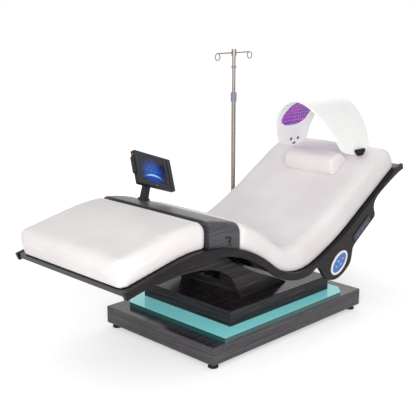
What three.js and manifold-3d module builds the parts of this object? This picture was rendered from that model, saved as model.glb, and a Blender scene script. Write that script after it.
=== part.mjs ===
import * as THREE from "three";
import { mergeVertices } from "three/addons/utils/BufferGeometryUtils.js";
import Module from "manifold-3d";

// A wave-shaped treatment lounge on a stepped plinth, with a light arch, a tablet and an infusion pole.
// Millimetres, +Z up. X runs from the foot end to the head end, -Y is the side with the keypad.
// A size whose name ends in Share is a share of the lounge's length, unless a note says otherwise.

// Driving sizes

const gap = 0.3; // between pieces that touch
const runGap = 0.08; // around a turning shaft
const over = 1; // how far a cutting solid reaches past what it cuts
const ease = 1.5; // broken edge of a plain moulding
const merge = 0.0001; // places nearer than this are one
const slopeRun = 12; // half the run over which a slope is read
const apart = 4; // least run between two sections of a wave solid
const roundSteps = 24; // sides of a plain round
const fineSteps = 32; // sides of a turning round
const smallSteps = 12; // sides of a small round

// Heights of the wave are over the deck, the top of the upper plinth.
const lounge = { length: 2030, width: 800, footRise: 293.5, kneeRise: 429.5, valleyRise: 71.5 };
lounge.lumbarRise = 211.5;
lounge.headRise = 530.5;
lounge.tipRise = 552.5;
lounge.kneeShare = 0.3108;
lounge.valleyShare = 0.54;
lounge.lumbarShare = 0.7172;
lounge.headShare = 0.968;
// How much of the shorter leg beside a bend its rounding takes.
lounge.kneeReachShare = 0.589;
lounge.valleyReachShare = 0.517;
lounge.lumbarReachShare = 0.38;
lounge.headReachShare = 0.256;
lounge.bendDegrees = 3.6; // turn of each facet of a bend

const plate = { thick: 18, band: 38, lobe: 190, tip: 30, tipOut: 8, toe: 6, toeCut: 3, join: 8 };
const platform = { thick: 22, drop: 2, inset: 9 };
const batten = { long: 60, thick: 12, footShare: 0.1232, headShare: 0.9064 };

const pedestal = { middleShare: 0.5416 };
const lowerPlinth = { long: 1154.3, half: 389, z: 25, tall: 90.5, soft: 2 };
const slab = { long: 958, half: 389, tall: 25.8, shift: -20.4, headCut: 60, footCut: 92, soft: 1 };
const upperPlinth = { long: 767.5, half: 313, tall: 78.6, soft: 2 };
const foot = { radius: 25, inset: 37, stem: 8, stemTall: 28, waist: 17, lip: 8, slope: 3, soft: 1 };

const bracket = { outer: 217, thick: 25, startShare: 0.17, longShare: 0.4409, tall: 276, skin: 7 };
const pivot = { share: 0.3507, rise: 241.5, shaft: 12.5, bush: 19, bushLip: 25, lipThick: 2.4 };
pivot.endPlay = 1;
const hanger = { outer: 186, thick: 18, half: 62, round: 30, sink: 14, steps: 12 };
hanger.fromDegrees = -15;
hanger.turnDegrees = -150;
const crank = { reach: 100, leanDegrees: 21.4, half: 8, hub: 26, eye: 17, waist: 15, pin: 8 };
crank.pinHalf = 21;
const ram = { aheadShare: 0.1912, rise: 31.5, tube: 20, tubeLong: 250, rod: 10, eye: 17 };
ram.rear = 14; // round of the rear eye
ram.rearHalf = 12;
ram.neck = 21; // from the rear pin to the tube
ram.neckHalf = 13;
ram.boreFloor = 25;
ram.rodFrom = 60; // from the tube's foot to the rod's
ram.rodEnd = 22; // from the rod's end to the crank pin
ram.headHalf = 19;
ram.headLong = 25;
ram.headTall = 12;
ram.forkGap = 1;
ram.forkDeep = 19;
ram.play = 0.8; // where the loop of lounge, crank and ram is left open
ram.motor = 19;
ram.motorLong = 96;
ram.motorAside = 43;
ram.gearLong = 46;
ram.gearFrom = 4;
ram.motorFrom = 12;
const clevis = { ear: 14, earThick: 8, earIn: 13, soleHalf: 40, soleThick: 6, pinOut: 3, rise: 1 };
const web = { aheadShare: 0.1074, thick: 18, tall: 108, notchHalf: 34, notchUp: 40 };
const controlBox = { aheadShare: 0.1261, y: 78, long: 150, wide: 92, tall: 54, round: 4 };
const inlet = { y: 210, up: 25, wide: 52, tall: 34, deep: 7, slot: 22, wall: 8, floor: 2 };

const legPad = { inset: 16, margin: 27, thick: 119, round: 36, crown: 5, longest: 150 };
const backPad = { inset: 28, margin: 23, thick: 155, round: 38, crown: 6, longest: 62 };
const seam = { up: 15, deep: 2.6, half: 3, tuck: 5, line: 1 };
const bridge = { share: 0.298, long: 198, thick: 124, margin: 20, round: 44, joint: 2 };
bridge.crease = 1.6;
bridge.creaseHalf = 2;
bridge.turn = 150; // over which the pads beside it come round to its upright ends
const hook = { radius: 2.6, off: 7, ahead: 5, down: 78, long: 38, drop: 42, steps: 14 };

const tablet = { wide: 284, tall: 175, thick: 24, round: 7, turnDegrees: 6.5, tiltDegrees: 60.5 };
tablet.rollDegrees = 3.6;
tablet.screenWide = 204;
tablet.screenTall = 138;
tablet.screenShift = -20;
tablet.screenUp = 5;
tablet.pocket = 2.4;
tablet.sunk = 0.5;
tablet.grooveIn = 38;
tablet.groove = 6;
tablet.grooveDeep = 4;
tablet.grip = 11;
tablet.gripTall = 84;
tablet.gripUp = 10;
tablet.gripIn = 2;
tablet.gripFrom = 5;
tablet.gripTo = 22;
tablet.home = 3;
tablet.homeAhead = 14;
tablet.homeUp = 9;
tablet.homeFloor = 4.2;
tablet.homeBack = 2.6;
tablet.homeLong = 3.6;
tablet.red = 5;
tablet.redDown = 22;
tablet.redLong = 8;
tablet.redOut = 3.4;
tablet.redFloor = 6;
const hinge = { back: 44, round: 15, half: 13, pin: 4, play: 0.5, ear: 9, earRound: 12, room: 2 };
hinge.arm = 9;
hinge.armIn = 3;
hinge.plateWide = 100;
hinge.plateTall = 76;
hinge.plateThick = 5;
hinge.plateRound = 8;
hinge.plateSoft = 1;
hinge.pinOut = 2;
hinge.saddle = 3;
const post = { ahead: 47.6, y: 231.5, tall: 132.8, wide: 46, topWide: 42, deep: 26, round: 6 };
post.skirt = 3;
post.skirtTall = 16;
post.groove = 2;
post.grooveFrom = 12;
const sole = { wide: 62, deep: 42, tall: 9, round: 12 };

const keypad = { share: 0.7172, down: 120.9, long: 155, tall: 100, ring: 12, tiltDegrees: 36 };
keypad.proud = 5;
keypad.key = 6.5;
keypad.faceDrop = 1.2;
keypad.floor = 0.8;
keypad.travel = 1.2;
const strip = { share: 0.8138, down: 88.9, margin: 20.5, tall: 44, snip: 12, turnDegrees: 34 };
strip.proud = 3.5;
strip.soft = 0.8;
strip.key = 30;
strip.keyTall = 18;
strip.keyStep = 40;
strip.keyRound = 3;
strip.floor = 0.8;
strip.keyBack = 2;
strip.keyThick = 2.3;

const pillow = { share: 0.849, long: 128, half: 170, y: -46, tall: 92, crown: 7, settle: 0.2 };
const dome = { share: 0.7532, long: 389, y: -26, half: 224, tall: 298, legOver: 8.6, thick: 9 };
dome.power = 1.81; // of the section; 2 would make it an ellipse
dome.soft = 2;
dome.rest = 0.8; // over the cushion under its legs
dome.legShare = 0.72; // of its own length, from its front to the middle of its legs
const lightPanel = { front: 76, back: 83, thick: 3, round: 70, reachSteps: 13 };
const stud = { radius: 7, tall: 2.2, apart: 63, alongShare: 0.67, upShare: 0.89 };
const plug = { wide: 84, footWide: 40, tall: 36, shoulder: 14, deep: 16, soft: 2, ahead: 277 };
plug.over = 33; // its top over the legs' ends

const pole = { inset: 145.7, clear: 40, outer: 12.5, bore: 10.3, inner: 10, baseZ: 34, topZ: 1122 };
pole.floor = 10;
pole.innerFromZ = 610;
pole.innerTopZ = 1386;
pole.collarZ = 1093;
pole.collarTall = 53;
pole.collar = 17.5;
pole.flute = 2;
pole.flutes = 8;
pole.fluteOut = 0.6;
pole.fluteIn = 7;
pole.ringZ = 1285;
pole.ringTall = 15;
pole.ring = 14;
const hooks = { z: 1373, half: 134, bar: 4, loop: 19, loopWire: 3.2, loopDegrees: 320 };
hooks.loopSteps = 20;
hooks.hub = 14;
hooks.hubUnder = 21;
hooks.hubTall = 42;
hooks.gussetHalf = 2;
hooks.gussetLong = 34;
hooks.gussetDown = 15;
hooks.gussetUp = 12;
const socket = { radius: 19, tall: 84, up: 3, armHalf: 22, armIn: 8, plateHalf: 46, plateThick: 7 };
socket.plateUp = 4;

// Places worked out from the sizes

const at = (share) => share * lounge.length;
const slabZ = lowerPlinth.z + lowerPlinth.tall + gap;
const upperZ = slabZ + slab.tall + gap;
const deckZ = upperZ + upperPlinth.tall;
const pedestalX = at(pedestal.middleShare);
const plinthHeadX = pedestalX + lowerPlinth.long / 2;
const pivotX = at(pivot.share);
const pivotZ = deckZ + pivot.rise;
const bridgeX = at(bridge.share);
const bridgeFrom = bridgeX - bridge.long / 2;
const bridgeTo = bridgeX + bridge.long / 2;
const sideY = lounge.width / 2;
const poleX = plinthHeadX - pole.inset;
const poleY = Math.max(sideY, lowerPlinth.half) + pole.clear;
const domeX = at(dome.share);

// Plain helpers

const wasm = await Module();
wasm.setup();
const { Manifold, Mesh: SolidMesh } = wasm;
const rad = THREE.MathUtils.degToRad;
const point = (x, z) => new THREE.Vector2(x, z);
const spot = (x, y, z) => new THREE.Vector3(x, y, z);

// A three.js geometry as a solid that can be joined and cut.
function toSolid(geometry) {
  const plain = geometry.index ? geometry.toNonIndexed() : geometry;
  const bare = new THREE.BufferGeometry();
  bare.setAttribute("position", plain.getAttribute("position"));
  const merged = mergeVertices(bare, merge);
  return new Manifold(
    new SolidMesh({
      numProp: 3,
      vertProperties: merged.attributes.position.array,
      triVerts: new Uint32Array(merged.index.array),
    }),
  );
}

function toGeometry(solid) {
  const made = solid.getMesh();
  const places = new Float32Array(made.numVert * 3);
  for (let i = 0; i < made.numVert; i++) {
    places.set(made.vertProperties.subarray(i * made.numProp, i * made.numProp + 3), i * 3);
  }
  const geometry = new THREE.BufferGeometry();
  geometry.setAttribute("position", new THREE.BufferAttribute(places, 3));
  geometry.setIndex(new THREE.BufferAttribute(made.triVerts, 1));
  geometry.computeVertexNormals();
  return geometry;
}

const join = (...solids) => solids.reduce((all, one) => all.add(one));
const cut = (solid, ...tools) => tools.reduce((left, tool) => left.subtract(tool), solid);
const moved = (solid, matrix) => solid.transform(matrix.elements);
const shifted = (solid, x, y, z) => solid.translate([x, y, z]);

function box(fromX, toX, fromY, toY, fromZ, toZ) {
  const geometry = new THREE.BoxGeometry(toX - fromX, toY - fromY, toZ - fromZ);
  geometry.translate((fromX + toX) / 2, (fromY + toY) / 2, (fromZ + toZ) / 2);
  return toSolid(geometry);
}

// A flat outline of X and Z places, drawn out along Y.
function sidePlate(outline, fromY, toY) {
  const geometry = new THREE.ExtrudeGeometry(new THREE.Shape(outline), {
    depth: toY - fromY,
    bevelEnabled: false,
  });
  geometry.rotateX(Math.PI / 2);
  geometry.translate(0, toY, 0);
  return toSolid(geometry);
}

// A flat outline of X and Y places, drawn up along Z, with its long edges eased.
function slabOf(outline, fromZ, tall, soft = 0) {
  const geometry = new THREE.ExtrudeGeometry(new THREE.Shape(outline), {
    depth: tall - 2 * soft,
    bevelEnabled: soft > 0,
    bevelThickness: soft,
    bevelSize: soft,
    bevelOffset: -soft,
    bevelSegments: 1,
  });
  geometry.translate(0, 0, fromZ + soft);
  return toSolid(geometry);
}

function roundedRect(wide, tall, round, steps = 4) {
  const outline = [];
  const corners = [
    [1, 1, 0],
    [-1, 1, 1],
    [-1, -1, 2],
    [1, -1, 3],
  ];
  for (const [sideX, sideY, quarter] of corners) {
    for (let i = 0; i <= steps; i++) {
      const angle = ((quarter + i / steps) * Math.PI) / 2;
      const x = sideX * (wide / 2 - round) + round * Math.cos(angle);
      const y = sideY * (tall / 2 - round) + round * Math.sin(angle);
      outline.push(point(x, y));
    }
  }
  return outline;
}

// A round bar whose axis runs along Z, X or Y from its start.
function bar(radius, long, x, y, z, along = "z", steps = roundSteps) {
  const geometry = new THREE.CylinderGeometry(radius, radius, long, steps);
  if (along === "z") geometry.rotateX(Math.PI / 2);
  if (along === "x") geometry.rotateZ(-Math.PI / 2);
  const half = long / 2;
  geometry.translate(
    x + (along === "x" ? half : 0),
    y + (along === "y" ? half : 0),
    z + (along === "z" ? half : 0),
  );
  return toSolid(geometry);
}

// A solid through rings of places, each ring with the same count, closed by a fan at both ends.
function loft(rings) {
  const count = rings[0].length;
  const places = [];
  const faces = [];
  for (const ring of rings) {
    for (const place of ring) places.push(place.x, place.y, place.z);
  }
  for (let r = 0; r < rings.length - 1; r++) {
    for (let i = 0; i < count; i++) {
      const next = (i + 1) % count;
      const a = r * count + i;
      const b = r * count + next;
      faces.push(a, b, b + count, a, b + count, a + count);
    }
  }
  const last = (rings.length - 1) * count;
  for (const [start, turned] of [
    [0, true],
    [last, false],
  ]) {
    const centre = rings[start ? rings.length - 1 : 0]
      .reduce((sum, place) => sum.add(place), spot(0, 0, 0))
      .divideScalar(count);
    const middle = places.length / 3;
    places.push(centre.x, centre.y, centre.z);
    for (let i = 0; i < count; i++) {
      const next = (i + 1) % count;
      if (turned) faces.push(middle, start + next, start + i);
      else faces.push(middle, start + i, start + next);
    }
  }
  const geometry = new THREE.BufferGeometry();
  geometry.setAttribute("position", new THREE.Float32BufferAttribute(places, 3));
  geometry.setIndex(faces);
  const solid = toSolid(geometry);
  if (solid.volume() > 0) return solid;
  for (let i = 0; i < faces.length; i += 3) {
    [faces[i + 1], faces[i + 2]] = [faces[i + 2], faces[i + 1]];
  }
  geometry.setIndex(faces);
  return toSolid(geometry);
}

// A round wire through the given places.
function wire(places, radius, steps = 8) {
  const rings = places.map((place, i) => {
    const before = places[Math.max(i - 1, 0)];
    const after = places[Math.min(i + 1, places.length - 1)];
    const ahead = after.clone().sub(before).normalize();
    const aside = Math.abs(ahead.y) < 0.9 ? spot(0, 1, 0) : spot(1, 0, 0);
    const u = aside.clone().cross(ahead).normalize();
    const v = ahead.clone().cross(u);
    return Array.from({ length: steps }, (_, k) => {
      const angle = (2 * Math.PI * k) / steps;
      return place
        .clone()
        .addScaledVector(u, radius * Math.cos(angle))
        .addScaledVector(v, radius * Math.sin(angle));
    });
  });
  return loft(rings);
}

// A line through corners, each rounded over a share of the shorter leg beside it.
function roundedLine(corners) {
  const line = [];
  corners.forEach(([x, z, reachShare = 0], i) => {
    const here = point(x, z);
    if (!reachShare) {
      line.push(here);
      return;
    }
    const inward = here.clone().sub(point(...corners[i - 1]));
    const outward = point(...corners[i + 1]).sub(here);
    const tangent = reachShare * Math.min(inward.length(), outward.length());
    inward.normalize();
    outward.normalize();
    const turn = Math.atan2(inward.cross(outward), inward.dot(outward));
    const radius = tangent / Math.tan(Math.abs(turn) / 2);
    const start = here.clone().addScaledVector(inward, -tangent);
    const across = point(-inward.y, inward.x).multiplyScalar(Math.sign(turn) * radius);
    const centre = start.clone().add(across);
    const steps = Math.max(1, Math.ceil(Math.abs(turn) / rad(lounge.bendDegrees)));
    for (let k = 0; k <= steps; k++) {
      line.push(start.clone().rotateAround(centre, (turn * k) / steps));
    }
  });
  return line;
}

// The wave line of the board's top, and places measured from it

const waveCorners = [
  [0, deckZ + lounge.footRise],
  [at(lounge.kneeShare), deckZ + lounge.kneeRise, lounge.kneeReachShare],
  [at(lounge.valleyShare), deckZ + lounge.valleyRise, lounge.valleyReachShare],
  [at(lounge.lumbarShare), deckZ + lounge.lumbarRise, lounge.lumbarReachShare],
  [at(lounge.headShare), deckZ + lounge.headRise, lounge.headReachShare],
  [lounge.length, deckZ + lounge.tipRise],
];
const waveLine = roundedLine(waveCorners);

// The back pad keeps to the back's straight line past the board's last bend.
const padLine = (() => {
  const lumbar = point(...waveCorners[3]);
  const head = point(...waveCorners[4]);
  const share = (lounge.length - lumbar.x) / (head.x - lumbar.x);
  const end = lumbar.clone().lerp(head, share);
  return roundedLine([...waveCorners.slice(0, 4), [end.x, end.y]]);
})();

// The place at x on a line, moved up along the line's own normal.
function onLine(line, x, up = 0) {
  let i = 1;
  while (i < line.length - 1 && line[i].x < x) i++;
  const from = line[i - 1];
  const to = line[i];
  const along = to.clone().sub(from).normalize();
  const share = (x - from.x) / (to.x - from.x);
  const place = from.clone().lerp(to, share);
  return place.addScaledVector(point(-along.y, along.x), up);
}

// Smooth normals at the given x, so that thick things on the wave don't fold.
function frameAt(line, x) {
  const before = onLine(line, Math.max(x - slopeRun, line[0].x));
  const after = onLine(line, Math.min(x + slopeRun, line.at(-1).x));
  const along = after.sub(before).normalize();
  return { place: onLine(line, x), up: point(-along.y, along.x) };
}

function above(line, x, up) {
  const frame = frameAt(line, x);
  return frame.place.addScaledVector(frame.up, up);
}

// A strip of the wave between two heights over it.
function waveStrip(fromX, toX, high, low) {
  const inner = waveLine.filter((place) => place.x > fromX + apart && place.x < toX - apart);
  const xs = [fromX, ...inner.map((place) => place.x), toX];
  const top = xs.map((x) => above(waveLine, x, high));
  const bottom = xs.map((x) => above(waveLine, x, low)).reverse();
  return [...top, ...bottom];
}

// Paints, and the scene graph

const root = new THREE.Group();
const paints = {
  laminate: { color: "#4a474c", roughness: 0.55, metalness: 0 },
  darkLaminate: { color: "#2c282b", roughness: 0.5, metalness: 0 },
  gloss: { color: "#141315", roughness: 0.12, metalness: 0 },
  glass: { color: "#6fc4bf", roughness: 0.08, metalness: 0 },
  upholstery: { color: "#ece8e8", roughness: 0.5, metalness: 0 },
  steel: { color: "#9b9793", roughness: 0.3, metalness: 1 },
  powderCoat: { color: "#26262a", roughness: 0.45, metalness: 0.2 },
  charcoal: { color: "#3a3b40", roughness: 0.5, metalness: 0 },
  white: { color: "#f0f0ee", roughness: 0.4, metalness: 0 },
  screen: { color: "#12306e", roughness: 0.15, metalness: 0 },
  blueKeys: { color: "#3b55b8", roughness: 0.35, metalness: 0 },
  violet: { color: "#7a2fd0", roughness: 0.3, metalness: 0 },
  red: { color: "#d0302c", roughness: 0.4, metalness: 0 },
  orange: { color: "#e08a3c", roughness: 0.4, metalness: 0 },
  green: { color: "#5fc08a", roughness: 0.4, metalness: 0 },
  lavender: { color: "#8f8ba0", roughness: 0.45, metalness: 0 },
};

function add(name, solid, paint, parent = root) {
  const mesh = new THREE.Mesh(toGeometry(solid), new THREE.MeshStandardMaterial(paints[paint]));
  mesh.name = name;
  parent.add(mesh);
  return mesh;
}

function groupAt(x, y, z, parent = root) {
  const group = new THREE.Group();
  group.position.set(x, y, z);
  parent.add(group);
  return group;
}

// Pedestal

function plinthOutline(size) {
  const fromX = pedestalX - size.long / 2;
  const toX = pedestalX + size.long / 2;
  return [point(fromX, -size.half), point(toX, -size.half), point(toX, size.half), point(fromX, size.half)];
}

function makePedestal() {
  const stemHole = foot.stem + gap;
  let lower = slabOf(plinthOutline(lowerPlinth), lowerPlinth.z, lowerPlinth.tall, lowerPlinth.soft);
  const footX = lowerPlinth.long / 2 - foot.inset;
  const footY = lowerPlinth.half - foot.inset;
  let count = 0;
  for (const x of [pedestalX - footX, pedestalX + footX]) {
    for (const y of [-footY, footY]) {
      count += 1;
      lower = cut(lower, bar(stemHole, foot.stemTall * 2, x, y, 0));
      add("levelling_foot_" + count, makeFoot(), "powderCoat").position.set(x, y, 0);
    }
  }
  add("lower_plinth", lower, "laminate");
  const headX = pedestalX + slab.shift + slab.long / 2;
  const fromX = headX - slab.long;
  const outline = [
    point(fromX, -slab.half),
    point(headX - slab.headCut, -slab.half),
    point(headX, -slab.half + slab.headCut),
    point(headX, slab.half),
    point(fromX + slab.footCut, slab.half),
    point(fromX, slab.half - slab.footCut),
  ];
  add("glass_slab", slabOf(outline, slabZ, slab.tall, slab.soft), "glass");
  add("upper_plinth", slabOf(plinthOutline(upperPlinth), upperZ, upperPlinth.tall, upperPlinth.soft), "laminate");
}

// A round pad with a lip and a screwed stem.
function makeFoot() {
  const top = lowerPlinth.z - gap;
  const profile = [
    point(0, 0),
    point(foot.radius - foot.soft, 0),
    point(foot.radius, foot.soft),
    point(foot.radius, foot.lip),
    point(foot.waist, foot.lip + foot.slope),
    point(foot.waist, top),
    point(foot.stem, top),
    point(foot.stem, top + foot.stemTall),
    point(0, top + foot.stemTall),
  ];
  const geometry = new THREE.LatheGeometry(profile, roundSteps);
  geometry.rotateX(Math.PI / 2);
  return toSolid(geometry);
}

// Swoosh brackets, their bushes and the web between them

// Places of the bracket's edges as shares of its length and height.
const archShares = [
  [0.6156, 0],
  [0.5888, 0.1232],
  [0.5598, 0.3043],
  [0.5218, 0.4638],
  [0.4693, 0.5833],
  [0.3966, 0.6848],
  [0.2961, 0.75],
  [0.1732, 0.7717],
  [0.067, 0.7536],
  [0, 0.7319],
];
const backShares = [
  [-0.0168, 0.7754],
  [0.0078, 0.8406],
  [0.1397, 0.9058],
  [0.2849, 0.9493],
  [0.3855, 1],
  [0.4358, 0.9855],
  [0.4883, 0.8659],
  [0.552, 0.7101],
  [0.6346, 0.558],
  [0.7441, 0.3768],
  [0.8659, 0.2138],
  [0.9553, 0.0833],
  [1, 0.0145],
];

function bracketOutline() {
  const fromX = at(bracket.startShare);
  const long = at(bracket.longShare);
  const z = deckZ + gap;
  const spline = (shares) => {
    const places = shares.map(([along, up]) => point(fromX + along * long, z + up * bracket.tall));
    return new THREE.SplineCurve(places).getPoints(places.length * 2);
  };
  return [...spline(archShares), ...spline(backShares), point(fromX + long, z)];
}

// The shaft's ends sit in blind bushes, so nothing of them shows on the brackets' outer faces.
function makeBrackets() {
  const outline = bracketOutline().reverse();
  const inner = bracket.outer - bracket.thick;
  const boreLong = bracket.thick - bracket.skin;
  for (const [name, side] of [
    ["near", -1],
    ["far", 1],
  ]) {
    const fromY = side < 0 ? -bracket.outer : inner;
    const holeY = side < 0 ? -inner - boreLong : inner - over;
    const hole = bar(pivot.bush + gap, boreLong + over, pivotX, holeY, pivotZ, "y", fineSteps);
    const solid = sidePlate(outline, fromY, fromY + bracket.thick);
    add("swoosh_bracket_" + name, cut(solid, hole), "laminate");

    const bushLong = boreLong - gap + gap + pivot.lipThick;
    const bushY = side < 0 ? -inner - boreLong + gap : inner - gap - pivot.lipThick;
    const body = bar(pivot.bush, bushLong, pivotX, bushY, pivotZ, "y", fineSteps);
    const lipY = side < 0 ? -inner + gap : bushY;
    const lip = bar(pivot.bushLip, pivot.lipThick, pivotX, lipY, pivotZ, "y", fineSteps);
    const boreY = bushY - over;
    const bore = bar(pivot.shaft + runGap, bushLong + 2 * over, pivotX, boreY, pivotZ, "y", fineSteps);
    add("pivot_bush_" + name, cut(join(body, lip), bore), "steel");
  }
  const z = deckZ + gap;
  const half = inner - gap;
  const x = pivotX + at(web.aheadShare);
  const panel = box(x, x + web.thick, -half, half, z, z + web.tall);
  const notch = box(
    x - over,
    x + web.thick + over,
    -web.notchHalf,
    web.notchHalf,
    z + web.notchUp,
    z + web.tall + over,
  );
  add("bracket_web", cut(panel, notch), "laminate");
}

// Tilt shaft, crank and ram

const crankPin = point(
  pivotX - crank.reach * Math.sin(rad(crank.leanDegrees)),
  pivotZ - crank.reach * Math.cos(rad(crank.leanDegrees)),
);
const ramBase = point(pivotX + at(ram.aheadShare), deckZ + ram.rise);
const ramLong = ramBase.distanceTo(crankPin);
const ramAngle = Math.atan2(crankPin.y - ramBase.y, ramBase.x - crankPin.x);

function makeTilt() {
  const reach = bracket.outer - bracket.skin - pivot.endPlay;
  const shaft = bar(pivot.shaft, 2 * reach, pivotX, -reach, pivotZ, "y", fineSteps);
  add("tilt_shaft", shaft, "steel");

  const centre = point(pivotX, pivotZ);
  const hub = bar(crank.hub, 2 * crank.half, pivotX, -crank.half, pivotZ, "y", fineSteps);
  const eye = bar(crank.eye, 2 * crank.half, crankPin.x, -crank.half, crankPin.y, "y", fineSteps);
  const along = centre.clone().sub(crankPin).normalize();
  const aside = point(-along.y, along.x).multiplyScalar(crank.waist);
  const arm = [
    crankPin.clone().add(aside),
    crankPin.clone().sub(aside),
    centre.clone().sub(aside),
    centre.clone().add(aside),
  ];
  const pin = bar(crank.pin, 2 * crank.pinHalf, crankPin.x, -crank.pinHalf, crankPin.y, "y");
  const hole = bar(pivot.shaft + gap, 4 * crank.half, pivotX, -2 * crank.half, pivotZ, "y", fineSteps);
  const blade = sidePlate(arm, -crank.half, crank.half);
  add("tilt_crank", cut(join(hub, eye, blade, pin), hole), "powderCoat");
}

// The ram lies along its group's X, from its rear pin to the crank's pin.
function makeRam() {
  const group = groupAt(ramBase.x, 0, ramBase.y);
  group.rotation.y = Math.PI + ramAngle;

  const rear = join(
    bar(ram.rear, 2 * ram.rearHalf, 0, -ram.rearHalf, 0, "y"),
    box(0, ram.neck + over, -ram.rearHalf, ram.rearHalf, -ram.neckHalf, ram.neckHalf),
  );
  const tube = bar(ram.tube, ram.tubeLong, ram.neck, 0, 0, "x");
  const bore = bar(ram.rod + gap, ram.tubeLong, ram.neck + ram.boreFloor, 0, 0, "x");
  const pinHole = bar(crank.pin + runGap, 4 * ram.rearHalf, 0, -2 * ram.rearHalf, 0, "y");
  add("ram_tube", cut(join(tube, rear), bore, pinHole), "powderCoat", group);

  const motor = bar(ram.motor, ram.motorLong, ram.neck + ram.motorFrom, -ram.motorAside, 0, "x");
  const gearFrom = ram.neck + ram.gearFrom;
  const gearBox = box(
    gearFrom,
    gearFrom + ram.gearLong,
    -ram.motorAside - ram.motor,
    -ram.tube - gap,
    -ram.motor,
    ram.motor,
  );
  add("ram_motor", join(motor, gearBox), "powderCoat", group);

  const rodFrom = ram.neck + ram.rodFrom;
  const rod = bar(ram.rod, ramLong - ram.rodEnd - rodFrom, rodFrom, 0, 0, "x");
  const head = join(
    bar(ram.eye, 2 * ram.headHalf, ramLong, -ram.headHalf, 0, "y"),
    box(ramLong - ram.headLong, ramLong, -ram.headHalf, ram.headHalf, -ram.headTall, ram.headTall),
  );
  const forkHalf = crank.half + ram.forkGap;
  const slot = box(
    ramLong - ram.forkDeep,
    ramLong + 2 * ram.eye,
    -forkHalf,
    forkHalf,
    -2 * ram.eye,
    2 * ram.eye,
  );
  const eyeHole = bar(crank.pin + ram.play, 4 * crank.pinHalf, ramLong, -2 * crank.pinHalf, 0, "y");
  add("ram_rod", join(rod, cut(head, slot, eyeHole)), "steel", group);
  add("ram_clevis", makeClevis(), "powderCoat");
}

// Two ears and a pin on a sole, screwed to the upper plinth.
function makeClevis() {
  const z = deckZ + gap;
  const { x, y: pinZ } = ramBase;
  const outer = clevis.earIn + clevis.earThick;
  const ears = [-outer, clevis.earIn].map((y) =>
    join(
      bar(clevis.ear, clevis.earThick, x, y, pinZ, "y"),
      box(x - clevis.ear, x + clevis.ear, y, y + clevis.earThick, z + clevis.rise, pinZ),
    ),
  );
  const sole = box(x - clevis.soleHalf, x + clevis.soleHalf, -outer, outer, z, z + clevis.soleThick);
  const pinHalf = outer + clevis.pinOut;
  return join(sole, ...ears, bar(crank.pin, 2 * pinHalf, x, -pinHalf, pinZ, "y"));
}

// Electric box on the upper plinth, and the mains inlet on the lower one

function makeElectrics() {
  const { long, wide, tall } = controlBox;
  const fromX = pivotX + at(controlBox.aheadShare);
  const group = groupAt(fromX + long / 2, controlBox.y + wide / 2, deckZ + gap);
  add("control_box", slabOf(roundedRect(long, wide, controlBox.round), 0, tall, ease), "charcoal", group);

  const seat = groupAt(plinthHeadX + gap, inlet.y, lowerPlinth.z + inlet.up);
  const face = box(0, inlet.deep, -inlet.wide / 2, inlet.wide / 2, 0, inlet.tall);
  const well = box(
    inlet.floor,
    inlet.deep + over,
    -inlet.slot / 2,
    inlet.slot / 2,
    inlet.wall,
    inlet.tall - inlet.wall,
  );
  add("mains_inlet", cut(face, well), "charcoal", seat);
}

// Lounge frame

// The side plates' lower edge as shares of the lounge's length and of the lobe's depth.
const lobeShares = [
  [0.5758, 0.2],
  [0.5939, 0.192],
  [0.609, 0.158],
  [0.6195, 0.13],
  [0.6246, 0.158],
  [0.6296, 0.24],
  [0.6336, 0.372],
  [0.6376, 0.548],
  [0.6442, 0.71],
  [0.6572, 0.855],
  [0.6753, 0.96],
  [0.6924, 1],
  [0.7105, 0.988],
  [0.7266, 0.935],
  [0.7386, 0.798],
  [0.7487, 0.62],
];
const ledgeShares = [
  [0.7577, 0.573],
  [0.8461, 0.533],
];
const neckShares = [
  [0.8517, 0.466],
  [0.8532, 0.34],
  [0.8567, 0.226],
  [0.8652, 0.132],
  [0.8773, 0.09],
  [0.8944, 0.084],
  [0.9195, 0.104],
  [0.9466, 0.135],
  [0.9768, 0.158],
];

function edgeBelow(shares, smooth) {
  const places = shares.map(([along, depth]) => above(waveLine, at(along), -depth * plate.lobe));
  return smooth ? new THREE.SplineCurve(places).getPoints(places.length * 2) : places;
}

function plateOutline() {
  const top = waveLine.map((place) => place.clone());
  const lobeX = at(lobeShares[0][0]) - plate.join;
  const bandXs = waveLine.map((place) => place.x).filter((x) => x > plate.toe && x < lobeX);
  const toe = above(waveLine, plate.toe, -plate.band + plate.toeCut);
  const band = bandXs.map((x) => above(waveLine, x, -plate.band));
  const tip = onLine(waveLine, lounge.length).add(point(plate.tipOut, -plate.tip));
  const under = [toe, ...band, ...edgeBelow(lobeShares, true)];
  const rest = [...edgeBelow(ledgeShares, false), ...edgeBelow(neckShares, true), tip];
  return [...under, ...rest, ...top.reverse()];
}

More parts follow.
